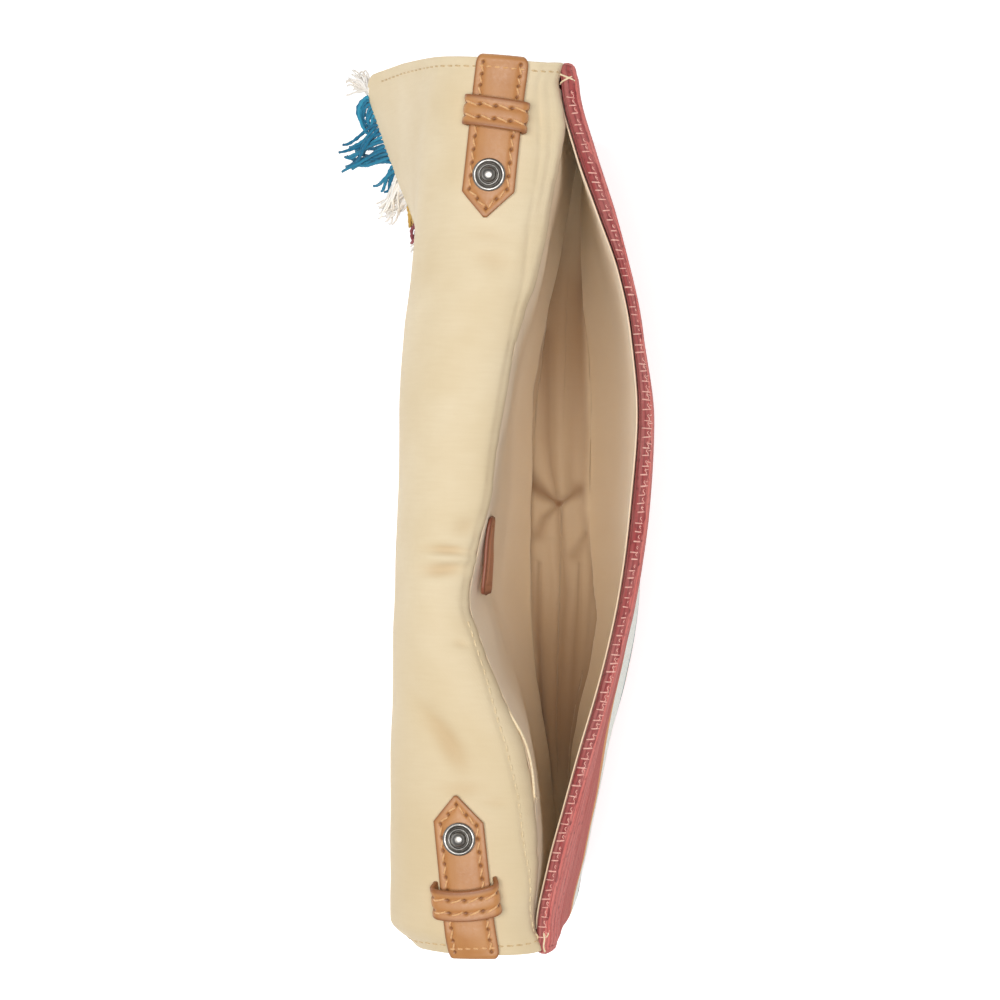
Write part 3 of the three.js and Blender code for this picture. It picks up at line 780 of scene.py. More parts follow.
# How far the flap's ends are moved along the width: the left one, and the right one by distance from the
# mouth
LEFT_END = 2.0
RIGHT_END = [
    (0, -0.8), (8, -2.0), (14, -2.2), (24, -1.6), (35, -0.9), (45, -0.2), (60, 0.6), (75, 1.0), (95, 0.5),
    (108, 0),
]
EDGE_TRIM = 6.0
EDGE_TRIM_AT = -31.0
EDGE_TRIM_HALF = 24.0
EDGE_TRIM_HOLD = 4
SIDE_ROW = 2.7
PUCKER_HALF = 4.0
ROW_STOP = 14.0
ROW_GROOVE = 0.22
ROW_GROOVE_HALF = 1.0
ROW_PITCH = 3.2

# Narrow creases of the flap's lining, with the same columns as its folds
FLAP_CREASES = [
    (-14.6, 12, 1.7, 7, -3, -2.0),
    (-17.4, 9, 1.5, 9, -2, 0.9),
    (-21.0, 12, 2.5, 7, 6, -2.2),
    (-6.5, 8, 3.4, 4, 0, -1.2),
    (-45.8, 9, 1.5, 3, 0, -0.9),
    (-78, 29, 11, 5, 18, -2.0),
    (-94, 28, 2.4, 9, 4, -1.0),
    (-98, 17, 2.0, 5, 0, -0.9),
    (90.5, 21, 3.0, 8, -10, -0.9),
    (82, 18, 4.0, 8, -20, -1.1),
    (5, 1, 8, 6, 0, 0.9),
    (92, 0, 24, 4, 0, 1.4),
    (130, 0, 13, 5, 0, 3.0),
    (-144, 0, 10, 4, 0, 1.9),
]
# Painted shade in the flap lining's creases: the most it darkens, and the crease depth that gives the
# most
FLAP_CREASE_PAINTED_SHADE = 0.5
FLAP_CREASE_SHADE_DEPTH = 2.4

# The seam along the mouth's back edge: its distance from the edge at places along the width
MOUTH_SEAM = [
    (-150, 1.5), (-139.5, 2.6), (-125, 6), (-112, 9), (-98, 9.4), (-83, 9.8), (-73, 9.2), (-63, 7),
    (-54, 5.4), (-45, 4.8), (-31, 4.2), (0, 4), (46, 4.4), (70, 5.6), (94, 9), (120, 10), (150, 10),
]
SEAM_STEP = 0.45
SEAM_EDGE = 0.5

# Puckers at the right end of the mouth: where they begin along the width and stop away from the mouth
PUCKERS_BEGIN = (40.0, 80.0)
PUCKERS_STOP = (16.0, 8.0)


def fold_height(folds, x, s):
    total = np.zeros(np.broadcast(x, s).shape)
    for fold_x, fold_s, half_x, half_s, slant, height in folds:
        turn = math.radians(slant)
        dx = x - fold_x
        ds = s - fold_s
        a = dx * math.cos(turn) + ds * math.sin(turn)
        b = ds * math.cos(turn) - dx * math.sin(turn)
        total += height * np.exp(-((a / half_x) ** 2) - (b / half_s) ** 2)
    return total


def flap_sheet():
    xs = np.linspace(-HALF_WIDTH, HALF_WIDTH, FLAP_COLUMNS)
    ss = np.linspace(0, FLAP_LENGTH, FLAP_LINES)
    points = np.stack([on_line(x, flap_line(x), ss) for x in xs])
    x, s = np.meshgrid(xs, ss, indexing="ij")
    height = fold_height(FLAP_FOLDS, x, s) + rippled("flap", x, s)
    ends = ramp(np.abs(x), END_DRAWN_FROM, HALF_WIDTH)
    points[..., 0] += np.where(x < 0, LEFT_END, along_table(s, RIGHT_END)) * ends
    return Sheet(xs, ss, points + grid_normals(points) * height[..., None])


def rounded_corners(x, s):
    """Places of a full grid moved in, so that the flap's free edge has round corners and dips less."""
    u = np.clip((np.abs(x) - HALF_WIDTH) / FLAP_CORNER + 1, 0, 1)
    v = np.clip((s - FLAP_LENGTH) / FLAP_CORNER + 1, 0, 1)
    in_x = FLAP_CORNER * u * (1 - np.sqrt(1 - v * v / 2))
    in_s = FLAP_CORNER * v * (1 - np.sqrt(1 - u * u / 2))
    trimmed = EDGE_TRIM * bell(x - EDGE_TRIM_AT, EDGE_TRIM_HALF) * (s / FLAP_LENGTH) ** EDGE_TRIM_HOLD
    return x - np.sign(x) * in_x, s - in_s - trimmed


flap = flap_sheet()
flap_x, flap_s = rounded_corners(*np.meshgrid(flap.xs, flap.ss, indexing="ij"))
flap_uv = np.stack([flap_x, flap_s], axis=-1)
LINING_TOP = GAP + LINING_THICK


def flap_relief():
    """Height of the flap lining's face over its smooth level: creases, seam strip, grooves, puckers."""
    relief = fold_height(FLAP_CREASES, flap_x, flap_s)
    relief += rippled("flap_fine", flap_x, flap_s) + rippled("flap_broad", flap_x, flap_s)
    side_gap = HALF_WIDTH - np.abs(flap_x) - SIDE_ROW
    relief += bell(side_gap, PUCKER_HALF) * rippled("side_row", flap_x, flap_s)
    seam_gap = flap_s - along_table(flap_x, MOUTH_SEAM)
    on_strip = 1 - smooth(seam_gap + SEAM_EDGE)
    relief += on_strip * (rippled("seam_strip", flap_x, flap_s) - SEAM_STEP)
    relief -= ROW_GROOVE * (bell(side_gap, ROW_GROOVE_HALF) + bell(seam_gap, ROW_GROOVE_HALF))
    right_end = ramp(flap_x, *PUCKERS_BEGIN) * ramp(flap_s, *PUCKERS_STOP)
    return relief + right_end * rippled("right_end", flap_x, flap_s)


flap_face = flap_relief()


def make_flap_lining():
    top = LINING_TOP + flap_face
    low = flap.at(flap_x, flap_s, top - LINING_THICK)
    high = flap.at(flap_x, flap_s, top)
    # Painted shade in the creases
    dark = FLAP_CREASE_PAINTED_SHADE * smooth(-fold_height(FLAP_CREASES, flap_x, flap_s) / FLAP_CREASE_SHADE_DEPTH)
    return add_cloth("flap_lining", closed_shell(low, high, flap_uv), cotton, dark)


def make_flap_shell():
    inset = (slice(1, -1, 2), slice(0, -1, 2))
    x, s = flap_x[inset], flap_s[inset]
    top = np.minimum(flap_face[inset], 0)
    low = flap.at(x, s, top - PANEL_THICK)
    high = flap.at(x, s, top)
    return add_cloth("flap_shell", closed_shell(low, high, flap_uv[inset]), flap_weave)


# Walls of the pouch
WALL_COLUMNS = 301
BACK_COLUMNS = 201
HEM_LINES = 20
WALL_LINES = 70
HEM_ROUND = 0.8
PUFF = 0.7
BASE_FADE = 30.0
END_RIM = 2.1
BACK_INSET = 2.6
SEAM_DRAWN = (143.5, 147.5)
SEAM_OPEN = 0.1

# How much the stripes near the mouth drop towards each side seam, and the spans along the width and below
# the mouth over which the drop begins and fades
STRIPE_DROP_LEFT = 0.56
STRIPE_DROP_RIGHT = 0.42
STRIPE_DROP_ALONG = (50.0, 130.0)
STRIPE_DROP_DOWN = (30.0, 130.0)

# Step of the stripes' place from ring to ring over the hem's rim, and the place that counts as the mouth
RIM_STEP = 0.8
AT_MOUTH = 0.01


def wall_grid(side, xs, drop=0.0, crowding=1.0):
    """Points of a wall from the mouth down to the base seam, with each point's distance below the mouth.
    crowding above 1 draws the lower rows together towards the base."""
    top_rows = np.linspace(drop, HEM_HEIGHT + HEM_BLEND, HEM_LINES)
    rows = 1 - (1 - np.linspace(0, 1, WALL_LINES)[1:]) ** crowding
    points, below = [], []
    for x in xs:
        line = wall_line(side, x)
        length = distances(line)[-1]
        wanted = np.concatenate([top_rows, top_rows[-1] + (length - top_rows[-1]) * rows])
        points.append(on_line(x, line, wanted))
        below.append(wanted)
    return np.stack(points), np.stack(below)


def seam_share(x):
    """0 along the walls, rising to 1 at the side seams."""
    return ramp(np.abs(x), *SEAM_DRAWN)


def seamed_wall(side, inset, count):
    """A wall drawn in to the side seams at its ends: its points, their x and distance below the mouth."""
    xs = np.linspace(-HALF_WIDTH + inset, HALF_WIDTH - inset, count)
    points, below = wall_grid(side, xs)
    other, _ = wall_grid(-side, xs)
    share = seam_share(xs)[:, None, None]
    clear = np.array([0, side * SEAM_OPEN, 0])
    points = points + share * ((other - points) / 2 + clear)
    return points, np.broadcast_to(xs[:, None], below.shape), below


def hem_thickness(x, below):
    share = np.clip((HEM_HEIGHT + HEM_BLEND - below) / HEM_BLEND, 0, 1)
    return PANEL_THICK + (section["hem"](x) - PANEL_THICK) * share


def off_base(below):
    """0 at the base seam, rising to 1 on the walls."""
    return smooth((below[:, -1:] - below) / BASE_FADE)


def stripe_uv(x, below):
    """Place along and across the stripes, which drop where the cloth is drawn in to the side seams."""
    near_seam = ramp(np.abs(x), *STRIPE_DROP_ALONG)
    near_mouth = 1 - ramp(below, *STRIPE_DROP_DOWN)
    drop = np.where(x < 0, STRIPE_DROP_LEFT, STRIPE_DROP_RIGHT)
    return np.stack([x, below * (1 - drop * near_seam * near_mouth)], axis=-1)


def make_front_panel():
    points, x, below = seamed_wall(-1, END_RIM, WALL_COLUMNS)
    puff = (PUFF + rippled("front", x, below)) * off_base(below)
    high = points - grid_normals(points) * (hem_thickness(x, below) + puff)[..., None]
    shell, faces, uv = closed_shell(points, high, stripe_uv(x, below), HEM_ROUND)
    rim = np.arange(len(uv)) - 2 * below.size
    around = 2 * (below.shape[0] + below.shape[1]) - 4
    on_rim = (rim >= 0) & (uv[:, 1] < AT_MOUTH)
    uv[on_rim, 1] = -RIM_STEP * (len(RIM_ANGLES) - rim[on_rim] // around)
    return add_cloth("front_panel", (shell, faces, uv), wall_weave)


def make_back_panel():
    points, x, below = seamed_wall(1, BACK_INSET, BACK_COLUMNS)
    thick = PANEL_THICK + rippled("back", x, below) * off_base(below)
    high = points + grid_normals(points) * thick[..., None]
    return add_cloth("back_panel", closed_shell(points, high, stripe_uv(x, below)), wall_weave)


# Lining of the pouch
LINING_COLUMNS = 221
LINING_EVEN = 0.5
LINING_CROWDING = 2.0
LINING_LOFT = 3.0
LOFT_STOPS = (62.0, 17.0)
HANG = 0.7
HANG_FADE = 30.0
ENDS_FADE = 60.0
EDGE_SPAN = 6.0
EDGE_THINNED = 0.55
# Painted shade along the lining's top edge at the mouth
EDGE_PAINTED_SHADE = 0.22
EDGE_PAINTED_SHADE_HOLD = 4

# Slack of the back wall's lining: how far it hangs away, where along the width, and where it begins and
# stops below the mouth
SLACK = 3.0
SLACK_AT = -38.0
SLACK_HALF = 14.0
SLACK_BEGINS = (3.0, 33.0)
SLACK_STOPS = (120.0, 60.0)

# Where the walls' lining meets the base, as distances from the base seam at places along the width
FRONT_CREASE = [
    (-140, -5), (-94, -13.6), (-75, -16.8), (-60, -18), (-44, -20.5), (-30, -15.5), (-16, -12), (0, -9),
    (45, -9.3), (140, -3),
]
BACK_CREASE = [
    (-140, 3), (-100, 6), (-61, 9.7), (-37, 12.3), (-9, 14.2), (11, 16), (27, 19.6), (45, 20), (140, 4),
]

# How strongly the creases show, the back one at places along the width
BACK_CREASE_SHARE = [(-140, 0.9), (-10, 1.0), (12, 0.9), (22, 0.35), (40, 0.2), (140, 0.4)]
FRONT_CREASE_SHARE = 0.8
CREASE_INSET = 0.6
CREASE_HALF = 2.4
CREASE_DEPTH = 2.4
# Painted shade in the creases where the walls' lining meets the base
CREASE_PAINTED_SHADE = 0.4

# Folds of the base: half widths at both ends of the line that each one follows, height, how much painted
# shade darkens it, and the line in (x, distance from the base seam)
STAR = (1.5, 1.2)
BASE_FOLDS = [
    (4.2, 1.0, -2.6, 0.7, [(10, 14), STAR]),
    (2.8, 0.9, -2.2, 0.6, [(7.5, -6.6), STAR]),
    (2.8, 1.0, -1.6, 0.4, [(-11, 9.3), (-4.2, 6.7), STAR]),
    (2.6, 1.4, -1.2, 0.32, [(-19, -5.3), (-15, -7.6), (-10, -9.8)]),
    (2.8, 1.2, -1.5, 0.32, [(70, 8.5), (27, 6.3), (15, 4.4), STAR]),
    (3.6, 2.8, 1.2, 0.0, [(100, 3), (51, 2.1), (27, 1.1), (6, 0.5)]),
    (4.0, 2.8, -0.9, 0.2, [(90, -4.2), (27, -3.8), (9, -3.2)]),
    (1.4, 3.0, -1.4, 0.3, [STAR, (-23, -1), (-33, -2.1), (-53, -1.4), (-110, -1)]),
    (2.0, 3.0, 1.0, 0.0, [(-14, 3), (-33, 0.6), (-53, 1.4), (-110, 1.4)]),
    (0.8, 3.0, -1.3, 0.35, [(-22, 8.5), (-77, 6.4), (-110, 5)]),
    (0.8, 3.0, -1.1, 0.3, [(-22, -7.5), (-77, -6), (-110, -5)]),
]
STAR_HALF = 2.6
STAR_DEPTH = 1.6
BASE_EDGE = 5.0
# Painted shade over the whole base, deeper towards its ends
BASE_PAINTED_SHADE = 0.36
END_PAINTED_SHADE = 0.28
END_PAINTED_SHADE_ALONG = (12.0, 72.0)


def lining_slack(x, below):
    """How far the back wall's lining hangs away from the panel."""
    down = ramp(below, *SLACK_BEGINS) * ramp(below, *SLACK_STOPS)
    return SLACK * down * bell(x - SLACK_AT, SLACK_HALF)


def fold_share(x, y, corners, start_half, end_half):
    """How much each place lies in a fold along a line, whose half width changes from end to end."""
    share = np.zeros(np.broadcast(x, y).shape)
    spans = len(corners) - 1
    for span, ((from_x, from_y), (to_x, to_y)) in enumerate(zip(corners, corners[1:])):
        along_x, along_y = to_x - from_x, to_y - from_y
        t = ((x - from_x) * along_x + (y - from_y) * along_y) / (along_x**2 + along_y**2)
        t = np.clip(t, 0, 1)
        gap = np.hypot(x - from_x - t * along_x, y - from_y - t * along_y)
        half = start_half + (end_half - start_half) * (span + t) / spans
        share = np.maximum(share, bell(gap, half))
    return share


def lining_folds(x, across):
    """Height of the folds in the base's lining, and its painted shade: in creases and folds, and over the
    base, deeper towards the ends. across is measured from the base seam.
    """
    wander = rippled("crease", x, np.sign(across))
    front_gap = across - along_table(x, FRONT_CREASE) + wander
    back_gap = along_table(x, BACK_CREASE) - across + wander
    inside = np.minimum(front_gap, back_gap)
    on_base = smooth(inside / BASE_EDGE + 0.5)
    strength = np.where(across > 0, along_table(x, BACK_CREASE_SHARE), FRONT_CREASE_SHARE)
    crease = strength * bell(inside - CREASE_INSET, CREASE_HALF)
    ends = ramp(np.abs(x), *END_PAINTED_SHADE_ALONG)
    # pale is what is left of the colour after the painted shade
    pale = (1 - CREASE_PAINTED_SHADE * crease**2) * (1 - (BASE_PAINTED_SHADE + END_PAINTED_SHADE * ends) * on_base)
    star = np.hypot(x - STAR[0], across - STAR[1])
    height = on_base * rippled("base", x, across) - CREASE_DEPTH * crease
    height = height - STAR_DEPTH * bell(star, STAR_HALF)
    for start_half, end_half, rise, dark, line in BASE_FOLDS:
        share = fold_share(x, across, line, start_half, end_half) * on_base
        height = height + rise * share
        pale = pale * (1 - dark * share)
    return height, 1 - pale, on_base


def lining_relief(x, across, below):
    """How far the lining stands off the panels, and its painted shade in folds, creases and over the
    base.
    """
    height, dark, on_base = lining_folds(x, across)
    low = ramp(np.abs(across), *LOFT_STOPS)
    lofted = np.maximum(LINING_LOFT + height + rippled("lining_fine", x, across), 0) * low
    hanging = (HANG + rippled("hanging", x, across)) * (1 - on_base) * smooth(below / HANG_FADE)
    near_ends = smooth((LINING_REACH - np.abs(x)) / ENDS_FADE)
    return (lofted + hanging) * near_ends, dark * low * near_ends


def make_pouch_lining():
    even = np.linspace(-1, 1, LINING_COLUMNS)
    xs = LINING_REACH * (LINING_EVEN * even + (1 - LINING_EVEN) * even**3)
    front, front_below = wall_grid(-1, xs, LINING_DROP, LINING_CROWDING)
    back, back_below = wall_grid(1, xs, LINING_DROP, LINING_CROWDING)
    points = np.concatenate([front[:, :-1], back[:, -2::-1]], axis=1)
    front_across = front_below - front_below[:, -1:]
    back_across = (back_below[:, -1:] - back_below)[:, ::-1]
    across = np.concatenate([front_across[:, :-1], back_across[:, 1:]], axis=1)
    below = np.concatenate([front_below[:, :-1], back_below[:, -2::-1]], axis=1)
    x = np.broadcast_to(xs[:, None], across.shape)
    relief, dark = lining_relief(x, across, below)
    relief = relief + np.where(across > 0, lining_slack(x, below), 0)
    middle = points + grid_normals(points) * (GAP + LINING_THICK / 2 + relief)[..., None]
    near_edge = 1 - smooth((below - LINING_DROP) / EDGE_SPAN)
    turned = grid_normals(middle) * (LINING_THICK / 2 * (1 - EDGE_THINNED * near_edge))[..., None]
    # Painted shade along the top edge
    dark = np.maximum(dark, EDGE_PAINTED_SHADE * near_edge**EDGE_PAINTED_SHADE_HOLD)
    shell = closed_shell(middle - turned, middle + turned, np.stack([x, across], axis=-1))
    return add_cloth("pouch_lining", shell, brightened_inner_cotton, dark)


# Leather patch on the back wall's lining
PATCH_LENGTH = 26.0
PATCH_HEIGHT = 17.0
PATCH_CENTRE_X = -16.5
PATCH_BELOW_EDGE = 6.0
PATCH_THICK = 1.2
PATCH_CORNER = 3.0
PATCH_STAND = 2.4
PATCH_COLUMNS = 111
PATCH_LINES = 41
PATCH_PUFF = 0.5
PATCH_PUFF_SPAN = 2.5
PATCH_GROOVE_AT = 2.6
PATCH_GROOVE_HALF = 0.8
PATCH_WORN_HALF = 1.0


def make_patch():
    offsets = np.linspace(-PATCH_LENGTH / 2, PATCH_LENGTH / 2, PATCH_COLUMNS)
    rows = np.linspace(-1, 1, PATCH_LINES)
    into_corner = np.maximum(0, np.abs(offsets) - PATCH_LENGTH / 2 + PATCH_CORNER)
    cut = PATCH_CORNER - np.sqrt(PATCH_CORNER**2 - into_corner**2)
    low, high, edge = [], [], []
    for offset, lost in zip(offsets, cut):
        x = PATCH_CENTRE_X + offset
        half = PATCH_HEIGHT / 2 - lost
        below = PATCH_BELOW_EDGE + PATCH_HEIGHT / 2 + rows * half
        line = wall_line(1, x)
        points = on_line(x, line, below)
        step = unit(np.gradient(points, axis=0))
        inwards = np.column_stack([np.zeros(len(rows)), step[:, 2], -step[:, 1]])
        behind = distances(line)[-1] - below
        height = GAP + LINING_THICK + GAP + lining_slack(x, below)
        height = height + PATCH_STAND * smooth(0.5 - offset / PATCH_LENGTH)
        height = height + lining_relief(np.full(len(below), x), behind, below)[0]
        rim = np.minimum(half * (1 - np.abs(rows)), PATCH_LENGTH / 2 - np.abs(offset))
        groove = bell(rim - PATCH_GROOVE_AT, PATCH_GROOVE_HALF)
        puff = PATCH_THICK + PATCH_PUFF * (smooth(rim / PATCH_PUFF_SPAN) - groove)
        low.append(points + inwards * height[:, None])
        high.append(points + inwards * (height + puff)[:, None])
        edge.append(bell(rim, PATCH_WORN_HALF))
    marks = np.stack([edge, np.zeros_like(edge)], axis=-1)
    points, faces, marks = closed_shell(np.stack(low), np.stack(high), marks)
    add_leather("inner_patch", (points, faces), patch_leather, *marks.T)


# Leather tabs with their keepers and studs
LEATHER_THICK = 1.3
HALF_LEATHER = LEATHER_THICK / 2
TAB_WIDTH = 16.0
TAB_LENGTH = 54.0
TAB_POINT = 8.6
TAB_TIP_WIDTH = 1.0
TAB_HALF = TAB_WIDTH / 2
TAB_RISE = TAB_HALF - TAB_TIP_WIDTH / 2
TAB_SLANT = math.hypot(TAB_POINT, TAB_RISE)
TAB_SHOULDER = TAB_LENGTH - TAB_POINT
TAB_TURN_BACK = 12.0
TAB_FOLD_ROUND = 1.0
TAB_CLEAR = 0.6
TAB_MIDDLE = LINING_TOP + TAB_CLEAR + HALF_LEATHER
TAB_TOP = TAB_MIDDLE + HALF_LEATHER
TAB_UNDER = -PANEL_THICK - TAB_CLEAR - HALF_LEATHER
TAB_OVER_EDGE = -GAP - HALF_LEATHER
TAB_END_ROUND = 1.8
TAB_END_CUT = 1.3
TAB_END_SPAN = 0.7
TAB_END_LEAST = 0.15
TAB_STEP = 0.36
TAB_ACROSS = 49
TAB_BELOW = 9
TAB_RIM = 0.45
TAB_FLAT = (0.5, 2.0)
TAB_CROWN = 0.12
TAB_CROWNED = (3.4, 6.4)
TAB_UNDER_WORN = 0.3
TAB_LINE_POINTS = 55
WORN_HALF = 0.7
FACES_UP = 0.5

# Distances from the mouth among which a tab's middle line is searched: first, last and count
TAB_SEARCH = (5, 60, 221)

# Stitch holes and the groove along them
STITCH_INSET = 2.3
STITCH_PITCH = 4.4
STITCH_START = 1.2
STITCH_GROOVE = 0.3
STITCH_GROOVE_HALF = 0.9
HOLE_HALF = 0.66
HOLE_SQUASH = 0.8
HOLE_CORE = 0.5
HOLE_FADE = 0.8
HOLE_DEPTH = 0.45

# Threads from hole to hole, and the row of stitches that crosses a tab
TAB_THREAD = {"radius": 0.36, "rise": 0.42, "slant": 0.42, "inset": 0.8}
KEEPER_THREAD = {"radius": 0.36, "rise": 0.42, "slant": 0.6, "inset": 0.7}
CLOTH_THREAD = {"rise": 0.34, "slant": 0.1, "inset": 0.45}
THREAD_GIRTH = np.array([0.55, 0.9, 1, 1, 1, 1, 1, 0.9, 0.55])
THREAD_SIDES = 7
THREAD_SINK = 0.3
THREAD_FLATNESS = 4
CROSSING_INSET = 0.6
CROSSING_PITCH = 2.6
CROSSING_RADIUS = 0.4
DASH_RADIUS = 0.3

KEEPER_WIDTH = 18.9
KEEPER_BAND = 9.2
KEEPER_ROOM = 2.4
KEEPER_ROUND = 2.2
KEEPER_INSET = 2.5
KEEPER_ACROSS = 31
KEEPER_BULGE = 0.7
STUD_AT = 40.0


def straighten(tab):
    """Works out the distance from the mouth that keeps the tab's middle straight when seen from above."""
    a = np.linspace(0, TAB_LENGTH, TAB_LINE_POINTS)
    x = tab["side"] * (HALF_WIDTH - a)
    s = np.linspace(*TAB_SEARCH)
    across = flap.at(x[:, None], s[None, :], TAB_TOP)[..., 1]
    ends = [np.interp(tab["start"], s, across[0]), np.interp(tab["point"], s, across[-1])]
    wanted = np.linspace(*ends, len(a))
    tab["line"] = (a, np.array([np.interp(y, row, s) for y, row in zip(wanted, across)]))


def on_tab(tab, a, b, height):
    """A place on a tab: a runs inwards from the flap's side edge and b across towards the free edge."""
    s = np.interp(a, *tab["line"]) + b
    return flap.at(tab["side"] * (HALF_WIDTH - a), s, height)


def tab_line():
    """Middle line of a tab in (a, height), from its point over the flap's edge to its turned-back end."""
    corner = TAB_OVER_EDGE + TAB_FOLD_ROUND
    return resampled(np.vstack([
        [(TAB_LENGTH, TAB_MIDDLE)],
        arc((corner, TAB_MIDDLE - TAB_FOLD_ROUND), TAB_FOLD_ROUND, 90, 180),
        arc((corner, TAB_UNDER + TAB_FOLD_ROUND), TAB_FOLD_ROUND, 180, 270),
        [(TAB_TURN_BACK, TAB_UNDER)],
    ]), TAB_STEP)


def tab_half_width(a):
    pointed = np.clip((a - TAB_LENGTH + TAB_POINT) / TAB_POINT, 0, 1)
    past = np.clip((TAB_END_ROUND - a) / (TAB_END_ROUND - TAB_OVER_EDGE), 0, 1)
    rounded = TAB_END_CUT * (1 - np.sqrt(1 - past**2))
    return (TAB_WIDTH + (TAB_TIP_WIDTH - TAB_WIDTH) * pointed) / 2 - rounded


def tab_edge_gap(a, b):
    """Distance inwards from the nearest edge of the tab's outline."""
    to_side = TAB_HALF - np.abs(b)
    on_slant = ((TAB_SHOULDER - a) * TAB_RISE + to_side * TAB_POINT) / TAB_SLANT
    return np.minimum(np.minimum(to_side, on_slant), TAB_LENGTH - a)


def tab_stitch_corners():
    """Corners of the stitch row in (a, b): up one side, round the point and down the other side."""
    b = TAB_HALF - STITCH_INSET
    side_end = TAB_SHOULDER - STITCH_INSET * (TAB_SLANT - TAB_POINT) / TAB_RISE
    tip = TAB_SHOULDER - (STITCH_INSET * TAB_SLANT - TAB_HALF * TAB_POINT) / TAB_RISE
    return np.array([(STITCH_START, b), (side_end, b), (tip, 0), (side_end, -b), (STITCH_START, -b)])


def hole_shade(a, b, holes):
    """How much a place lies in one of the stitch holes, which are diamond-shaped; it sets the painted
    shade in the holes and how far they sink.
    """
    shade = np.zeros(np.broadcast(a, b).shape)
    for hole_a, hole_b in holes:
        gap = HOLE_SQUASH * np.abs(a - hole_a) + np.abs(b - hole_b)
        shade = np.maximum(shade, 1 - smooth((gap / HOLE_HALF - HOLE_CORE) / HOLE_FADE))
    return shade


def stitched_top(gap, inset, dark, share=1.0):
    """Height of a stitched leather face over its middle, with a groove along the row and sunk holes."""
    groove = share * STITCH_GROOVE * bell(gap - inset, STITCH_GROOVE_HALF)
    return HALF_LEATHER - groove - HOLE_DEPTH * dark


def stitch_threads(holes, place, radius, rise, slant, inset):
    """Short arched threads from each hole to the next.
    place turns two coordinates and a height into a point."""
    start, end = holes[:-1], holes[1:]
    along = unit(end - start)
    beside = np.column_stack([-along[:, 1], along[:, 0]])
    first = start + along * inset + beside * slant
    last = end - along * inset - beside * slant
    t = np.linspace(0, 1, len(THREAD_GIRTH))
    flat = first[:, None] + (last - first)[:, None] * t[:, None]
    arch = rise * (1 - (2 * t - 1) ** THREAD_FLATNESS) - THREAD_SINK
    arch = np.broadcast_to(arch, flat.shape[:2])
    paths = place(flat[..., 0], flat[..., 1], arch)
    ups = place(flat[..., 0], flat[..., 1], arch + 1) - paths
    return tubes(paths, radius * THREAD_GIRTH, ups, THREAD_SIDES)


def dashes(line, place, pitch=ROW_PITCH, radius=DASH_RADIUS):
    """A row of running stitches along a line of two coordinates."""
    return stitch_threads(resampled(line, pitch), place, radius, **CLOTH_THREAD)


def tab_ring(a, on_top, holes):
    """One ring round a tab: places across, heights off the middle, how worn they are, and their painted
    shade in the stitch holes.
    """
    width = tab_half_width(a)
    inner = width - TAB_RIM
    b = np.linspace(-1, 1, TAB_ACROSS) * inner
    to_side = width - np.abs(b)
    gap = tab_edge_gap(a, b) if on_top else to_side
    dark = hole_shade(a, b, holes) if on_top and a > 0 else np.zeros(TAB_ACROSS)
    flat = ramp(a, *TAB_FLAT) if on_top else 0.0
    crown = flat * TAB_CROWN * ramp(gap, *TAB_CROWNED)
    top = stitched_top(gap, STITCH_INSET, dark, flat) + crown
    turn = RIM_ANGLES[::-1]
    rim_b = inner + TAB_RIM * np.cos(turn)
    rim_height = (HALF_LEATHER - TAB_RIM) * np.sign(np.sin(turn)) + TAB_RIM * np.sin(turn)
    ring_b = np.concatenate([b, rim_b, np.linspace(1, -1, TAB_BELOW) * inner, -rim_b[::-1]])
    height = np.concatenate([top, rim_height, np.full(TAB_BELOW, -HALF_LEATHER), rim_height[::-1]])
    worn_top = bell(np.minimum(gap, to_side), WORN_HALF)
    worn_rim = np.ones(len(turn))
    worn = np.concatenate([worn_top, worn_rim, np.full(TAB_BELOW, TAB_UNDER_WORN), worn_rim])
    return ring_b, height, worn, np.concatenate([dark, np.zeros(len(worn) - len(dark))])


def make_tab(tab):
    """A tab's leather. Returns its stitches."""
    line = tab_line()
    tangent = unit(np.gradient(line, axis=0))
    out = np.column_stack([tangent[:, 1], -tangent[:, 0]])
    along = distances(line)
    from_ends = np.clip(np.minimum(along, along[-1] - along) / TAB_END_SPAN, 0, 1)
    closing = np.sqrt(np.clip(1 - (1 - from_ends) ** 2, TAB_END_LEAST, 1))
    holes = resampled(tab_stitch_corners(), STITCH_PITCH)
    rings, worn, dark = [], [], []
    for (a, height), outward, close in zip(line, out, closing):
        b, rise, ring_worn, ring_dark = tab_ring(a, outward[1] > FACES_UP, holes)
        rings.append(on_tab(tab, a + outward[0] * rise * close, b, height + outward[1] * rise * close))
        worn.append(ring_worn)
        dark.append(ring_dark)
    points = np.vstack(rings)
    index = np.arange(len(points)).reshape(len(rings), -1)
    faces = facing_out(points, [rings_quads(index), np.vstack([index[0, ::-1], index[-1]])])
    marks = [np.concatenate(group) for group in (worn, dark)]
    add_leather("tab_" + tab["name"], (points, faces), leather, *marks)

    def place(a, b, height):
        return on_tab(tab, a, b, TAB_TOP + height)

    reach = TAB_HALF - CROSSING_INSET
    crossing = np.array([(SIDE_ROW, -reach), (SIDE_ROW, reach)])
    sides = stitch_threads(holes, place, **TAB_THREAD)
    return [sides, dashes(crossing, place, CROSSING_PITCH, CROSSING_RADIUS)]


def keeper_line():
    """Middle line of a keeper in (b, height), from one foot over the tab to the other."""
    half = (KEEPER_WIDTH - LEATHER_THICK) / 2
    foot = LINING_TOP + TAB_CLEAR
    roof = TAB_TOP + KEEPER_ROOM + HALF_LEATHER
    bend = KEEPER_ROUND - HALF_LEATHER
    return resampled(np.vstack([
        [(-half, foot)],
        arc((bend - half, roof - bend), bend, 180, 90),
        arc((half - bend, roof - bend), bend, 90, 0),
        [(half, foot)],
    ]), TAB_STEP)


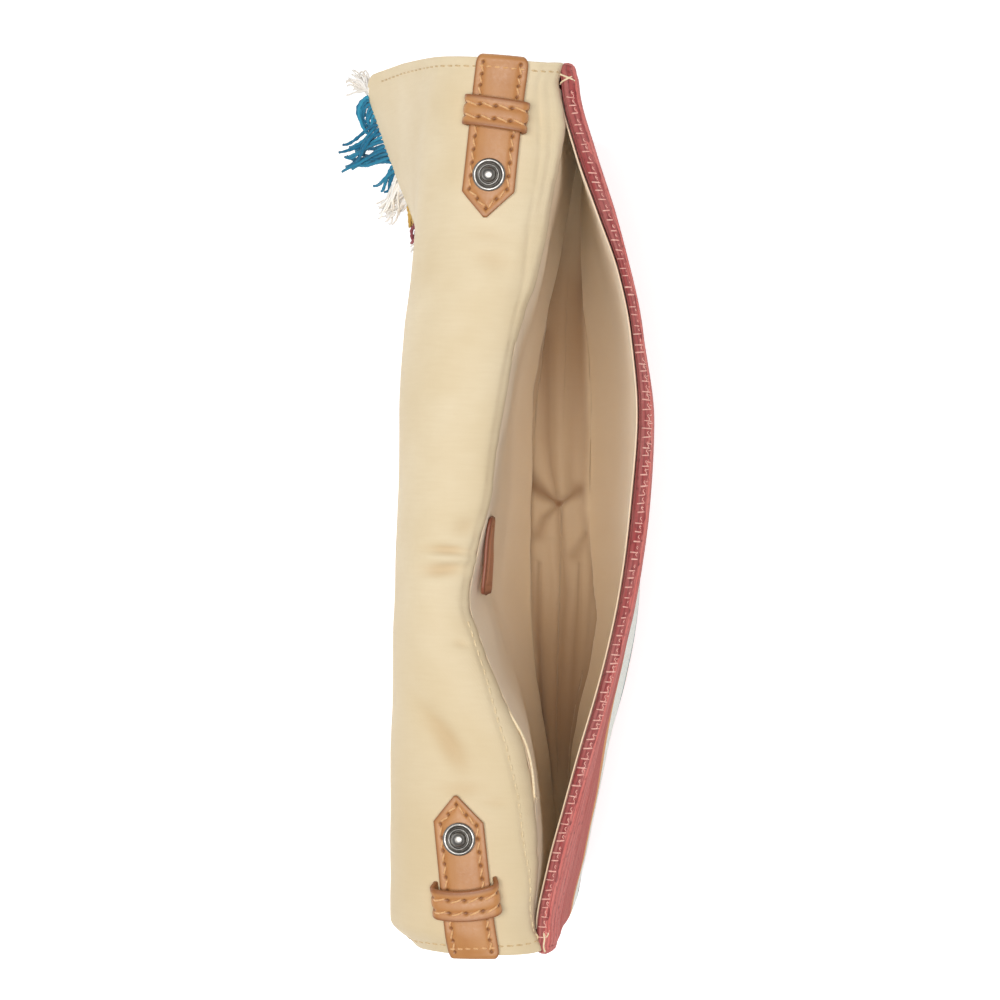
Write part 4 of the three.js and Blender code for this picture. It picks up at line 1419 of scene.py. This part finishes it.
def on_keeper(tab, along, across, height):
    """A place on a keeper: along its middle line, across its band and outwards."""
    line = keeper_line()
    steps = distances(line)
    tangent = unit(np.gradient(line, axis=0))
    b, level = (np.interp(along, steps, line[:, k]) for k in (0, 1))
    out_level, back_b = (np.interp(along, steps, tangent[:, k]) for k in (0, 1))
    b = (b - back_b * height) * tab["stretch"]
    level = level + out_level * height
    leaning = tab["lean"] * (level - line[0, 1])
    bowed = tab["sag"] * (1 - (2 * b / KEEPER_WIDTH) ** 2)
    a = tab["keeper"] + across - b * tab["tilt"] - leaning - bowed
    return on_tab(tab, a, b, level)


def make_keeper(tab):
    """A keeper's leather. Returns its stitches."""
    length = distances(keeper_line())[-1]
    half_band = KEEPER_BAND / 2
    steps = np.linspace(0, length, int(length / TAB_STEP))
    along, across = np.meshgrid(steps, np.linspace(-half_band, half_band, KEEPER_ACROSS), indexing="ij")
    places = np.arange(length / 2 % STITCH_PITCH, length, STITCH_PITCH)
    row = half_band - KEEPER_INSET
    rows = [np.column_stack([places, np.full(len(places), side * row)]) for side in (-1, 1)]
    dark = hole_shade(along, across, np.vstack(rows))
    gap = half_band - np.abs(across)
    high = on_keeper(tab, along, across, stitched_top(gap, KEEPER_INSET, dark))
    low = on_keeper(tab, along, across, -HALF_LEATHER)
    marks = np.stack([bell(gap, WORN_HALF), dark], axis=-1)
    points, faces, marks = closed_shell(low, high, marks, KEEPER_BULGE)
    add_leather("keeper_" + tab["name"], (points, faces), leather, *marks.T)

    def place(along, across, height):
        return on_keeper(tab, along, across, HALF_LEATHER + height)

    return [stitch_threads(row, place, **KEEPER_THREAD) for row in rows]


# Stud: radius and height of each turned ring in millimetres, and how much it lies in a groove
STUD_RINGS = [
    (0, -1.5, 0), (1.7, -1.5, 0), (1.7, 0.3, 0), (5.2, 0.3, 0.6), (5.45, 0.55, 0.2), (5.5, 0.85, 0),
    (5.4, 1.15, 0), (5.1, 1.38, 0), (4.7, 1.42, 0), (4.35, 1.3, 0.1), (4.1, 1.0, 0.7), (3.95, 0.8, 1),
    (3.75, 0.85, 1), (3.6, 1.2, 0.5), (3.45, 1.55, 0), (3.25, 1.68, 0), (3.05, 1.55, 0.1),
    (2.9, 1.2, 0.7), (2.75, 1.0, 1), (2.5, 1.1, 1), (2.35, 1.6, 0.5), (2.3, 2.3, 0.1),
    (2.15, 2.85, 0), (1.8, 3.25, 0), (1.3, 3.48, 0), (0.7, 3.58, 0), (0, 3.6, 0),
]
STUD_SIDES = 72


def make_stud(tab):
    origin = on_tab(tab, STUD_AT, 0.0, TAB_TOP)
    normal = unit(on_tab(tab, STUD_AT, 0.0, TAB_TOP + 1) - origin)
    side = unit(np.cross((0.0, 1.0, 0.0), normal))
    other = np.cross(normal, side)
    angle = np.arange(STUD_SIDES) * 2 * math.pi / STUD_SIDES
    wheel = side * np.cos(angle)[:, None] + other * np.sin(angle)[:, None]
    foot, *rings, tip = STUD_RINGS
    points = [origin + wheel * radius + normal * height for radius, height, groove in rings]
    points += [(origin + normal * end[1])[None] for end in (foot, tip)]
    count = len(rings) * STUD_SIDES
    index = np.arange(count).reshape(len(rings), STUD_SIDES)
    first, last = index[0], index[-1]
    caps = [
        np.column_stack([np.roll(first, -1), first, np.full(STUD_SIDES, count)]),
        np.column_stack([last, np.roll(last, -1), np.full(STUD_SIDES, count + 1)]),
    ]
    groove = np.append(np.repeat([ring[2] for ring in rings], STUD_SIDES), [0, 0])
    mesh_data = (np.vstack(points), [rings_quads(index), np.vstack(caps)])
    name = "stud_" + tab["name"]
    add_piece(name + "_metal", mesh_data, nickel, [name], None, {"groove": groove})


def make_tabs():
    for tab in TABS:
        straighten(tab)
        stitches = make_tab(tab) + make_keeper(tab)
        make_stud(tab)
        add_piece("tab_" + tab["name"] + "_stitches", joined(stitches), threads["tan"])


# Each yarn's strands: radius, spacing, least count, share of the length that varies, waviness, depth and
# turns of the two plies, and sides of the section
STRANDS = {
    "blue": (0.64, 1.4, 4, 0.25, 2.3, 0.26, 4, 10),
    "mustard": (0.6, 1.3, 4, 0.3, 2.2, 0.26, 4.5, 8),
    "maroon": (0.6, 1.3, 4, 0.3, 2.2, 0.26, 4.5, 8),
    "cream": (0.42, 0.75, 16, 0.5, 2.6, 0.2, 6, 5),
}
FRINGE_LENGTH = 26.0
FRINGE_LAYERS = [-0.8, 0.8]
FRINGE_SEED = 500
BLOCK_GAP = 0.6
BLOCK_INSET = 0.7
STRAND_STEPS = 15
STRAND_SHIFT = 0.25
STRAND_TAPER = 0.35
STRAND_TAPER_HOLD = 4
ROOT_LIFT = 0.2
ROOT_DEPTH = 1.2
SWING_SPREAD = 5
LEAN_SPREAD = 0.12
LEAST_FALL = 0.35
CLUMP = 7
CLUMP_PULL = (0.2, 0.8)

# Sway of the strands: seeds of both ways, and how fast it changes along the width, by layer and down
SWAY_SEEDS = (601, 651)
SWAY_ALONG = 3.7
SWAY_LAYER = 9
SWAY_DOWN = 2.4
SWAY_HOLD = 1.3

# How far the strands swing out from hanging straight down, in degrees, at places along the width
FRINGE_SWING = [(-150, 6), (-130, 3), (60, 4), (90, 10), (150, 20)]

# Bunches at the flared corner: the strands rooted between two places lean to one place along the width at
# their tips, with their own swing, share of the full length and outward bow
BUNCHES = [
    (150, 146, 154, 32, 0.72, 0.0),
    (146, 142, 135, 4, 0.6, 4.4),
    (142, 136, 133, 8, 0.42, 1.0),
    (136, 121, 122.5, 46, 0.95, 0.0),
    (121, 118, 112.5, 32, 0.64, 0.0),
    (118, 107, 104, 30, 0.95, 0.0),
    (107, 101, 100, 7, 0.4, 0.0),
    (101, 96, 95, 10, 0.42, 0.0),
]
BUNCH_BOW = (0.5, 1.1)
BUNCH_PULL = (0.7, 1.0)


def fringe_layer(index, layer, xs, ragged, wave, chance):
    """Paths of one layer of strands rooted at places along the width, and the way outwards from each."""
    count = len(xs)
    t = np.linspace(0, 1, STRAND_STEPS)
    swing = along_table(xs, FRINGE_SWING)
    length = FRINGE_LENGTH * (1 - ragged * chance.uniform(0, 1, count))
    root = flap.at(*rounded_corners(xs, np.full(count, FLAP_LENGTH)), ROOT_LIFT + layer)
    clump = (np.arange(count) + int(chance.integers(CLUMP))) // CLUMP
    centre = np.array([xs[clump == c].mean() for c in clump])
    pull = (centre - xs) * chance.uniform(*CLUMP_PULL, count)
    bow = np.zeros(count)
    for start, end, tip, bunch_swing, share, bunch_bow in BUNCHES:
        inside = (xs <= start) & (xs > end)
        bow = np.where(inside, bunch_bow * chance.uniform(*BUNCH_BOW, count), bow)
        swing = np.where(inside, bunch_swing, swing)
        length = np.where(inside, length * share, length)
        pull = np.where(inside, (tip - xs) * chance.uniform(*BUNCH_PULL, count), pull)
    fall = np.sqrt(np.maximum(length**2 - pull**2, (LEAST_FALL * length) ** 2))
    slope = np.radians(swing + chance.normal(0, SWING_SPREAD, count))
    down = np.column_stack([chance.normal(0, LEAN_SPREAD, count), np.sin(slope), -np.cos(slope)])
    out = np.column_stack([np.zeros(count), np.cos(slope), np.sin(slope)])
    place = xs[:, None] * SWAY_ALONG + layer * SWAY_LAYER
    sways = [wave * ripple(seed + index, place, t * SWAY_DOWN) * t**SWAY_HOLD for seed in SWAY_SEEDS]
    path = root[:, None] + down[:, None] * (fall[:, None] * t - ROOT_DEPTH)[..., None]
    path[..., 0] += pull[:, None] * smooth(t) + sways[0]
    path[..., 1] += bow[:, None] * np.sin(math.pi * t)
    path += out[:, None] * sways[1][..., None]
    return path, out


def fringe_block(index, yarn, start, end):
    """Loose strands between two places along the flap's free edge, drawn together in clumps."""
    radius, spacing, least, ragged, wave, ply, turns, sides = STRANDS[yarn]
    chance = np.random.default_rng(FRINGE_SEED + index)
    count = max(least, int((start - end - BLOCK_GAP) / spacing))
    paths, outs = [], []
    for layer in FRINGE_LAYERS:
        even = np.linspace(start - BLOCK_INSET, end + BLOCK_INSET, count)
        xs = even + chance.uniform(-STRAND_SHIFT, STRAND_SHIFT, count)
        path, out = fringe_layer(index, layer, xs, ragged, wave, chance)
        paths.append(path)
        outs.append(out)
    taper = 1 - STRAND_TAPER * np.linspace(0, 1, STRAND_STEPS) ** STRAND_TAPER_HOLD
    strands = tubes(np.vstack(paths), radius * taper, np.vstack(outs)[:, None], sides, ply, turns)
    tint = np.repeat(chance.uniform(0, 1, count * len(FRINGE_LAYERS)), STRAND_STEPS * sides)
    node = f"fringe_{index:02d}_{yarn}"
    add_piece(node + "_strands", strands, yarns[yarn], [node], None, {"tint": tint})


def make_fringe():
    start = HALF_WIDTH
    for index, (yarn, end) in enumerate(FRINGE_BLOCKS, 1):
        fringe_block(index, yarn, start, end)
        start = end


# The cord of pale threads that holds the fringe along the flap's free edge
HEADING_INSET = 1.0
HEADING_POINTS = 400
HEADING_SINK = 0.3
HEADING_DROP = 0.5


def make_heading():
    xs = np.linspace(-HALF_WIDTH + HEADING_INSET, HALF_WIDTH - HEADING_INSET, HEADING_POINTS)
    edge_x, edge_s = rounded_corners(xs, np.full(len(xs), FLAP_LENGTH))
    down = flap.at(edge_x, edge_s, 0) - flap.at(edge_x, edge_s - 1, 0)
    path = flap.at(edge_x, edge_s, -HEADING_SINK) + HEADING_DROP * down
    cord = tubes(path[None], radii=0.85, ups=down[None], sides=10, ply=0.2, turns=130)
    add_piece("fringe_heading", cord, threads["heading"])


# Stitch rows of the flap: where the side rows begin, and the stitched part of the mouth's seam
ROW_START = 1.0
SEAM_STITCHED_TO = -38.0
SEAM_STITCH_INSET = 0.9
SEAM_STITCH_POINTS = 150


def nearest(places, steps):
    """Index of the even step nearest to each place."""
    return np.clip(np.rint((places - steps[0]) / (steps[1] - steps[0])).astype(int), 0, len(steps) - 1)


def on_flap_face(x, s, height):
    return flap.at(x, s, LINING_TOP + flap_face[nearest(x, flap.xs), nearest(s, flap.ss)] + height)


def make_flap_stitches():
    side_x = HALF_WIDTH - SIDE_ROW
    ends = (ROW_START, FLAP_LENGTH - ROW_STOP)
    rows = [np.array([(x, s) for s in ends]) for x in (-side_x, side_x)]
    sides = joined([dashes(row, on_flap_face) for row in rows])
    add_piece("flap_topstitch", sides, threads["olive"])
    xs = np.linspace(-side_x, SEAM_STITCHED_TO, SEAM_STITCH_POINTS)
    seam = np.column_stack([xs, along_table(xs, MOUTH_SEAM) - SEAM_STITCH_INSET])
    add_piece("mouth_topstitch", dashes(seam, on_flap_face), threads["seam"])


# Ladder stitching along the front's hem
HEM_SEED = 71
HEM_ENDS = 7.0
HEM_LIFT = 0.4
BAR_PITCH = 3.16
BAR_RADIUS = 0.23
BAR_POINTS = 7
BAR_SHIFT = (-0.5, 0.5)
BAR_LOW_SHIFT = (-0.2, 0.35)
BAR_HIGH_SHIFT = (-0.3, 0.2)
BAR_SLANT = (-0.4, 0.4)
BAR_GIRTH = (0.7, 1.2)
RUN_ACROSS = 0.65
RUN_WAVE = 0.2
RUN_RADIUS = 0.14
RUN_SHARE = 0.66

# Full bars and half bars: place in the pitch, inner and outer end across the hem, and share of the girth
BARS = [(0.0, -0.45, 1.25, 1.0), (0.5, RUN_ACROSS, 1.45, 0.7)]

# Each tack thread of the mouth's ends: end of the bag, start and end along the width and across the hem
TACKS = [
    (-1, 141.8, 148.2, 0.5, 0.9), (-1, 145.4, 144.8, -2.2, -0.6), (-1, 143.2, 140.2, 1.0, 2.1),
    (1, 146.2, 142.4, -2.2, 2.6), (1, 142.2, 145.8, -2.2, 2.4),
]
TACK_POINTS = 9


def on_hem(x, across, height):
    """A place on the hem's rounded top edge. across runs outwards from the middle of its thickness."""
    x, across, height = np.broadcast_arrays(*(np.asarray(value, float) for value in (x, across, height)))
    points = np.zeros((*x.shape, 3))
    for place in np.ndindex(x.shape):
        line = wall_line(-1, x[place])
        up = unit(line[0] - line[1])
        out = np.array([-up[1], up[0]])
        half = section["hem"](x[place]) / 2
        angle = np.clip(across[place] / half, -1, 1) * math.pi / 2
        rim = half + height[place]
        flat = line[0] + out * half + out * rim * math.sin(angle) + up * rim * HEM_ROUND * math.cos(angle)
        drawn = seam_share(x[place]) * (wall_line(1, x[place])[0] - line[0]) / 2
        points[place] = (x[place], *(flat + drawn))
    return points


def hem_threads(x, across, radius, lift):
    """Threads laid on the hem, from rows of places of one length."""
    points = on_hem(x, across, lift)
    return tubes(points, radius, on_hem(x, across, lift + 1) - points)


def make_hem_stitches():
    """Irregular bars across the hem, half bars between them and a thin thread from bar to bar."""
    chance = np.random.default_rng(HEM_SEED)
    count = int(2 * (HALF_WIDTH - HEM_ENDS) / BAR_PITCH)
    starts = -HALF_WIDTH + HEM_ENDS + BAR_PITCH * np.arange(count) + chance.uniform(*BAR_SHIFT, count)
    starts = starts[:, None]
    t = np.linspace(0, 1, BAR_POINTS)
    wave = RUN_ACROSS + RUN_WAVE * np.sin(2 * math.pi * t)
    parts = [hem_threads(starts + BAR_PITCH * RUN_SHARE * t, wave, RUN_RADIUS, HEM_LIFT)]
    for share, inner, outer, thick in BARS:
        low = inner + chance.uniform(*BAR_LOW_SHIFT, (count, 1))
        high = outer + chance.uniform(*BAR_HIGH_SHIFT, (count, 1))
        slant = chance.uniform(*BAR_SLANT, (count, 1))
        girth = BAR_RADIUS * thick * chance.uniform(*BAR_GIRTH, (count, 1))
        bar_x = starts + BAR_PITCH * share + slant * t
        parts.append(hem_threads(bar_x, low + (high - low) * t, girth, HEM_LIFT))
    add_piece("hem_stitches", joined(parts), threads["pink"])


def make_tacks():
    side, start, end, inner, outer = np.array(TACKS).T[..., None]
    t = np.linspace(0, 1, TACK_POINTS)
    x = side * (start + (end - start) * t)
    tacks = hem_threads(x, inner + (outer - inner) * t, radius=0.32, lift=0.35)
    add_piece("mouth_tacks", tacks, threads["cream"])


# A loose edge of the back lining that stands off the mouth's back edge, with a frayed end
STRIP_START = -66.0
STRIP_END = -97.0
STRIP_POINTS = 60
STRIP_OFF = 0.3
STRIP_BOW = 1.5
STRIP_BOW_SHARE = 0.85
STRIP_RISE = 0.6
STRIP_WAVE = 0.5
STRIP_HALF_WAVES = 3
STRIP_UP = np.array([0.0, 0.3, 1.0])
FRAY_SEED = 81
FRAYS = 7
FRAY_POINTS = 8
FRAY_ROOT = -3
FRAY_WAY = (-0.75, -0.35, 0.1)
FRAY_SPREAD = 0.35
FRAY_BEND = 0.8
FRAY_REACH = (1.6, 3.6)
FRAY_RADIUS = 0.14
FRAY_TAPER = 1.2


def make_strip():
    xs = np.linspace(STRIP_START, STRIP_END, STRIP_POINTS)
    t = np.linspace(0, 1, STRIP_POINTS)
    y = section["back"](xs) - STRIP_OFF - STRIP_BOW * np.sin(math.pi * STRIP_BOW_SHARE * t)
    z = MOUTH_HEIGHT + STRIP_RISE + STRIP_WAVE * np.sin(STRIP_HALF_WAVES * math.pi * t)
    path = np.column_stack([xs, y, z])
    strip = tubes(path[None], radii=0.5, ups=STRIP_UP, sides=8)
    chance = np.random.default_rng(FRAY_SEED)
    u = np.linspace(0, 1, FRAY_POINTS)[:, None]
    frays = []
    for _ in range(FRAYS):
        way = chance.normal(FRAY_WAY, FRAY_SPREAD)
        bend = chance.normal(0, FRAY_BEND, 3)
        reach = chance.uniform(*FRAY_REACH)
        frays.append(path[FRAY_ROOT] + u * way * reach + u**2 * bend)
    fray = tubes(np.stack(frays), FRAY_RADIUS * (FRAY_TAPER - u[:, 0]), STRIP_UP, sides=5)
    add_piece("lining_edge_strip", joined([strip, fray]), threads["cream"])


flap_lining = make_flap_lining()
flap_shell = make_flap_shell()
front_panel = make_front_panel()
back_panel = make_back_panel()
pouch_lining = make_pouch_lining()
make_patch()
make_tabs()
make_fringe()
make_heading()
make_flap_stitches()
make_hem_stitches()
make_tacks()
make_strip()

# Camera, floor and light
VIEW_TILT = math.radians(4.46)
VIEW_ROLL = math.radians(1.47)
VIEW_DISTANCE = 1.0
VIEW_TARGET = np.array([0.0025, 0.0177, 0.200])
FRAME_WIDTH = 0.3355
SENSOR = 36.0
FLOOR_HALF = 4.0
LIGHT_PLACE = np.array([-0.05, 0.07, 1.9])
LIGHT_TARGET = np.array([0, 0.02, 0.15])
LIGHT_SIZE = (0.75, 1.25)
LIGHT_POWER = 30.9
LIGHT_UP = (0.0, 1.0, 0.01)

# The sky's strength by the height of the place looked at: heights of both ends, and strengths there
SKY_FADE = {"From Min": 0.08, "From Max": 0.5, "To Min": 0.9, "To Max": 0.1}


def set_place(thing, right, up, back, place):
    """Turns an object to its three axes and puts it in its place."""
    columns = (right, up, back, place)
    thing.matrix_world = Matrix([[column[k] for column in columns] for k in range(3)] + [[0, 0, 0, 1]])


def make_camera():
    data = bpy.data.cameras.new("camera")
    data.sensor_width = SENSOR
    data.lens = SENSOR * VIEW_DISTANCE / FRAME_WIDTH
    camera = add_object("camera", data)
    view = np.array([0, math.sin(VIEW_TILT), -math.cos(VIEW_TILT)])
    flat_right = np.array([0, -math.cos(VIEW_TILT), -math.sin(VIEW_TILT)])
    flat_up = np.array([1.0, 0, 0])
    right = math.cos(VIEW_ROLL) * flat_right + math.sin(VIEW_ROLL) * flat_up
    up = math.cos(VIEW_ROLL) * flat_up - math.sin(VIEW_ROLL) * flat_right
    set_place(camera, right, up, -view, VIEW_TARGET - view * VIEW_DISTANCE)
    bpy.context.scene.camera = camera


def make_floor():
    mesh = bpy.data.meshes.new("floor")
    corners = [(-1, -1), (1, -1), (1, 1), (-1, 1)]
    mesh.from_pydata([(FLOOR_HALF * x, FLOOR_HALF * y, 0) for x, y in corners], [], [(0, 1, 2, 3)])
    mesh.materials.append(floor_material("pale_floor"))
    add_object("floor", mesh)


def make_sky():
    world = bpy.data.worlds.new("studio")
    world.use_nodes = True
    tree = world.node_tree
    background = tree.nodes["Background"]
    background.inputs["Color"].default_value = WHITE
    place = tree.nodes.new("ShaderNodeTexCoord")
    split = tree.nodes.new("ShaderNodeSeparateXYZ")
    fade = tree.nodes.new("ShaderNodeMapRange")
    for name, value in SKY_FADE.items():
        fade.inputs[name].default_value = value
    tree.links.new(place.outputs["Generated"], split.inputs["Vector"])
    tree.links.new(split.outputs["Z"], fade.inputs["Value"])
    tree.links.new(fade.outputs["Result"], background.inputs["Strength"])
    bpy.context.scene.world = world


def make_light():
    data = bpy.data.lights.new("overhead", "AREA")
    data.shape = "RECTANGLE"
    data.size, data.size_y = LIGHT_SIZE
    data.energy = LIGHT_POWER
    away = unit(LIGHT_PLACE - LIGHT_TARGET)
    side = unit(np.cross(LIGHT_UP, away))
    set_place(add_object("overhead", data), side, np.cross(away, side), away, LIGHT_PLACE)
    bpy.context.scene.view_settings.view_transform = "Standard"


make_camera()
make_floor()
make_sky()
make_light()
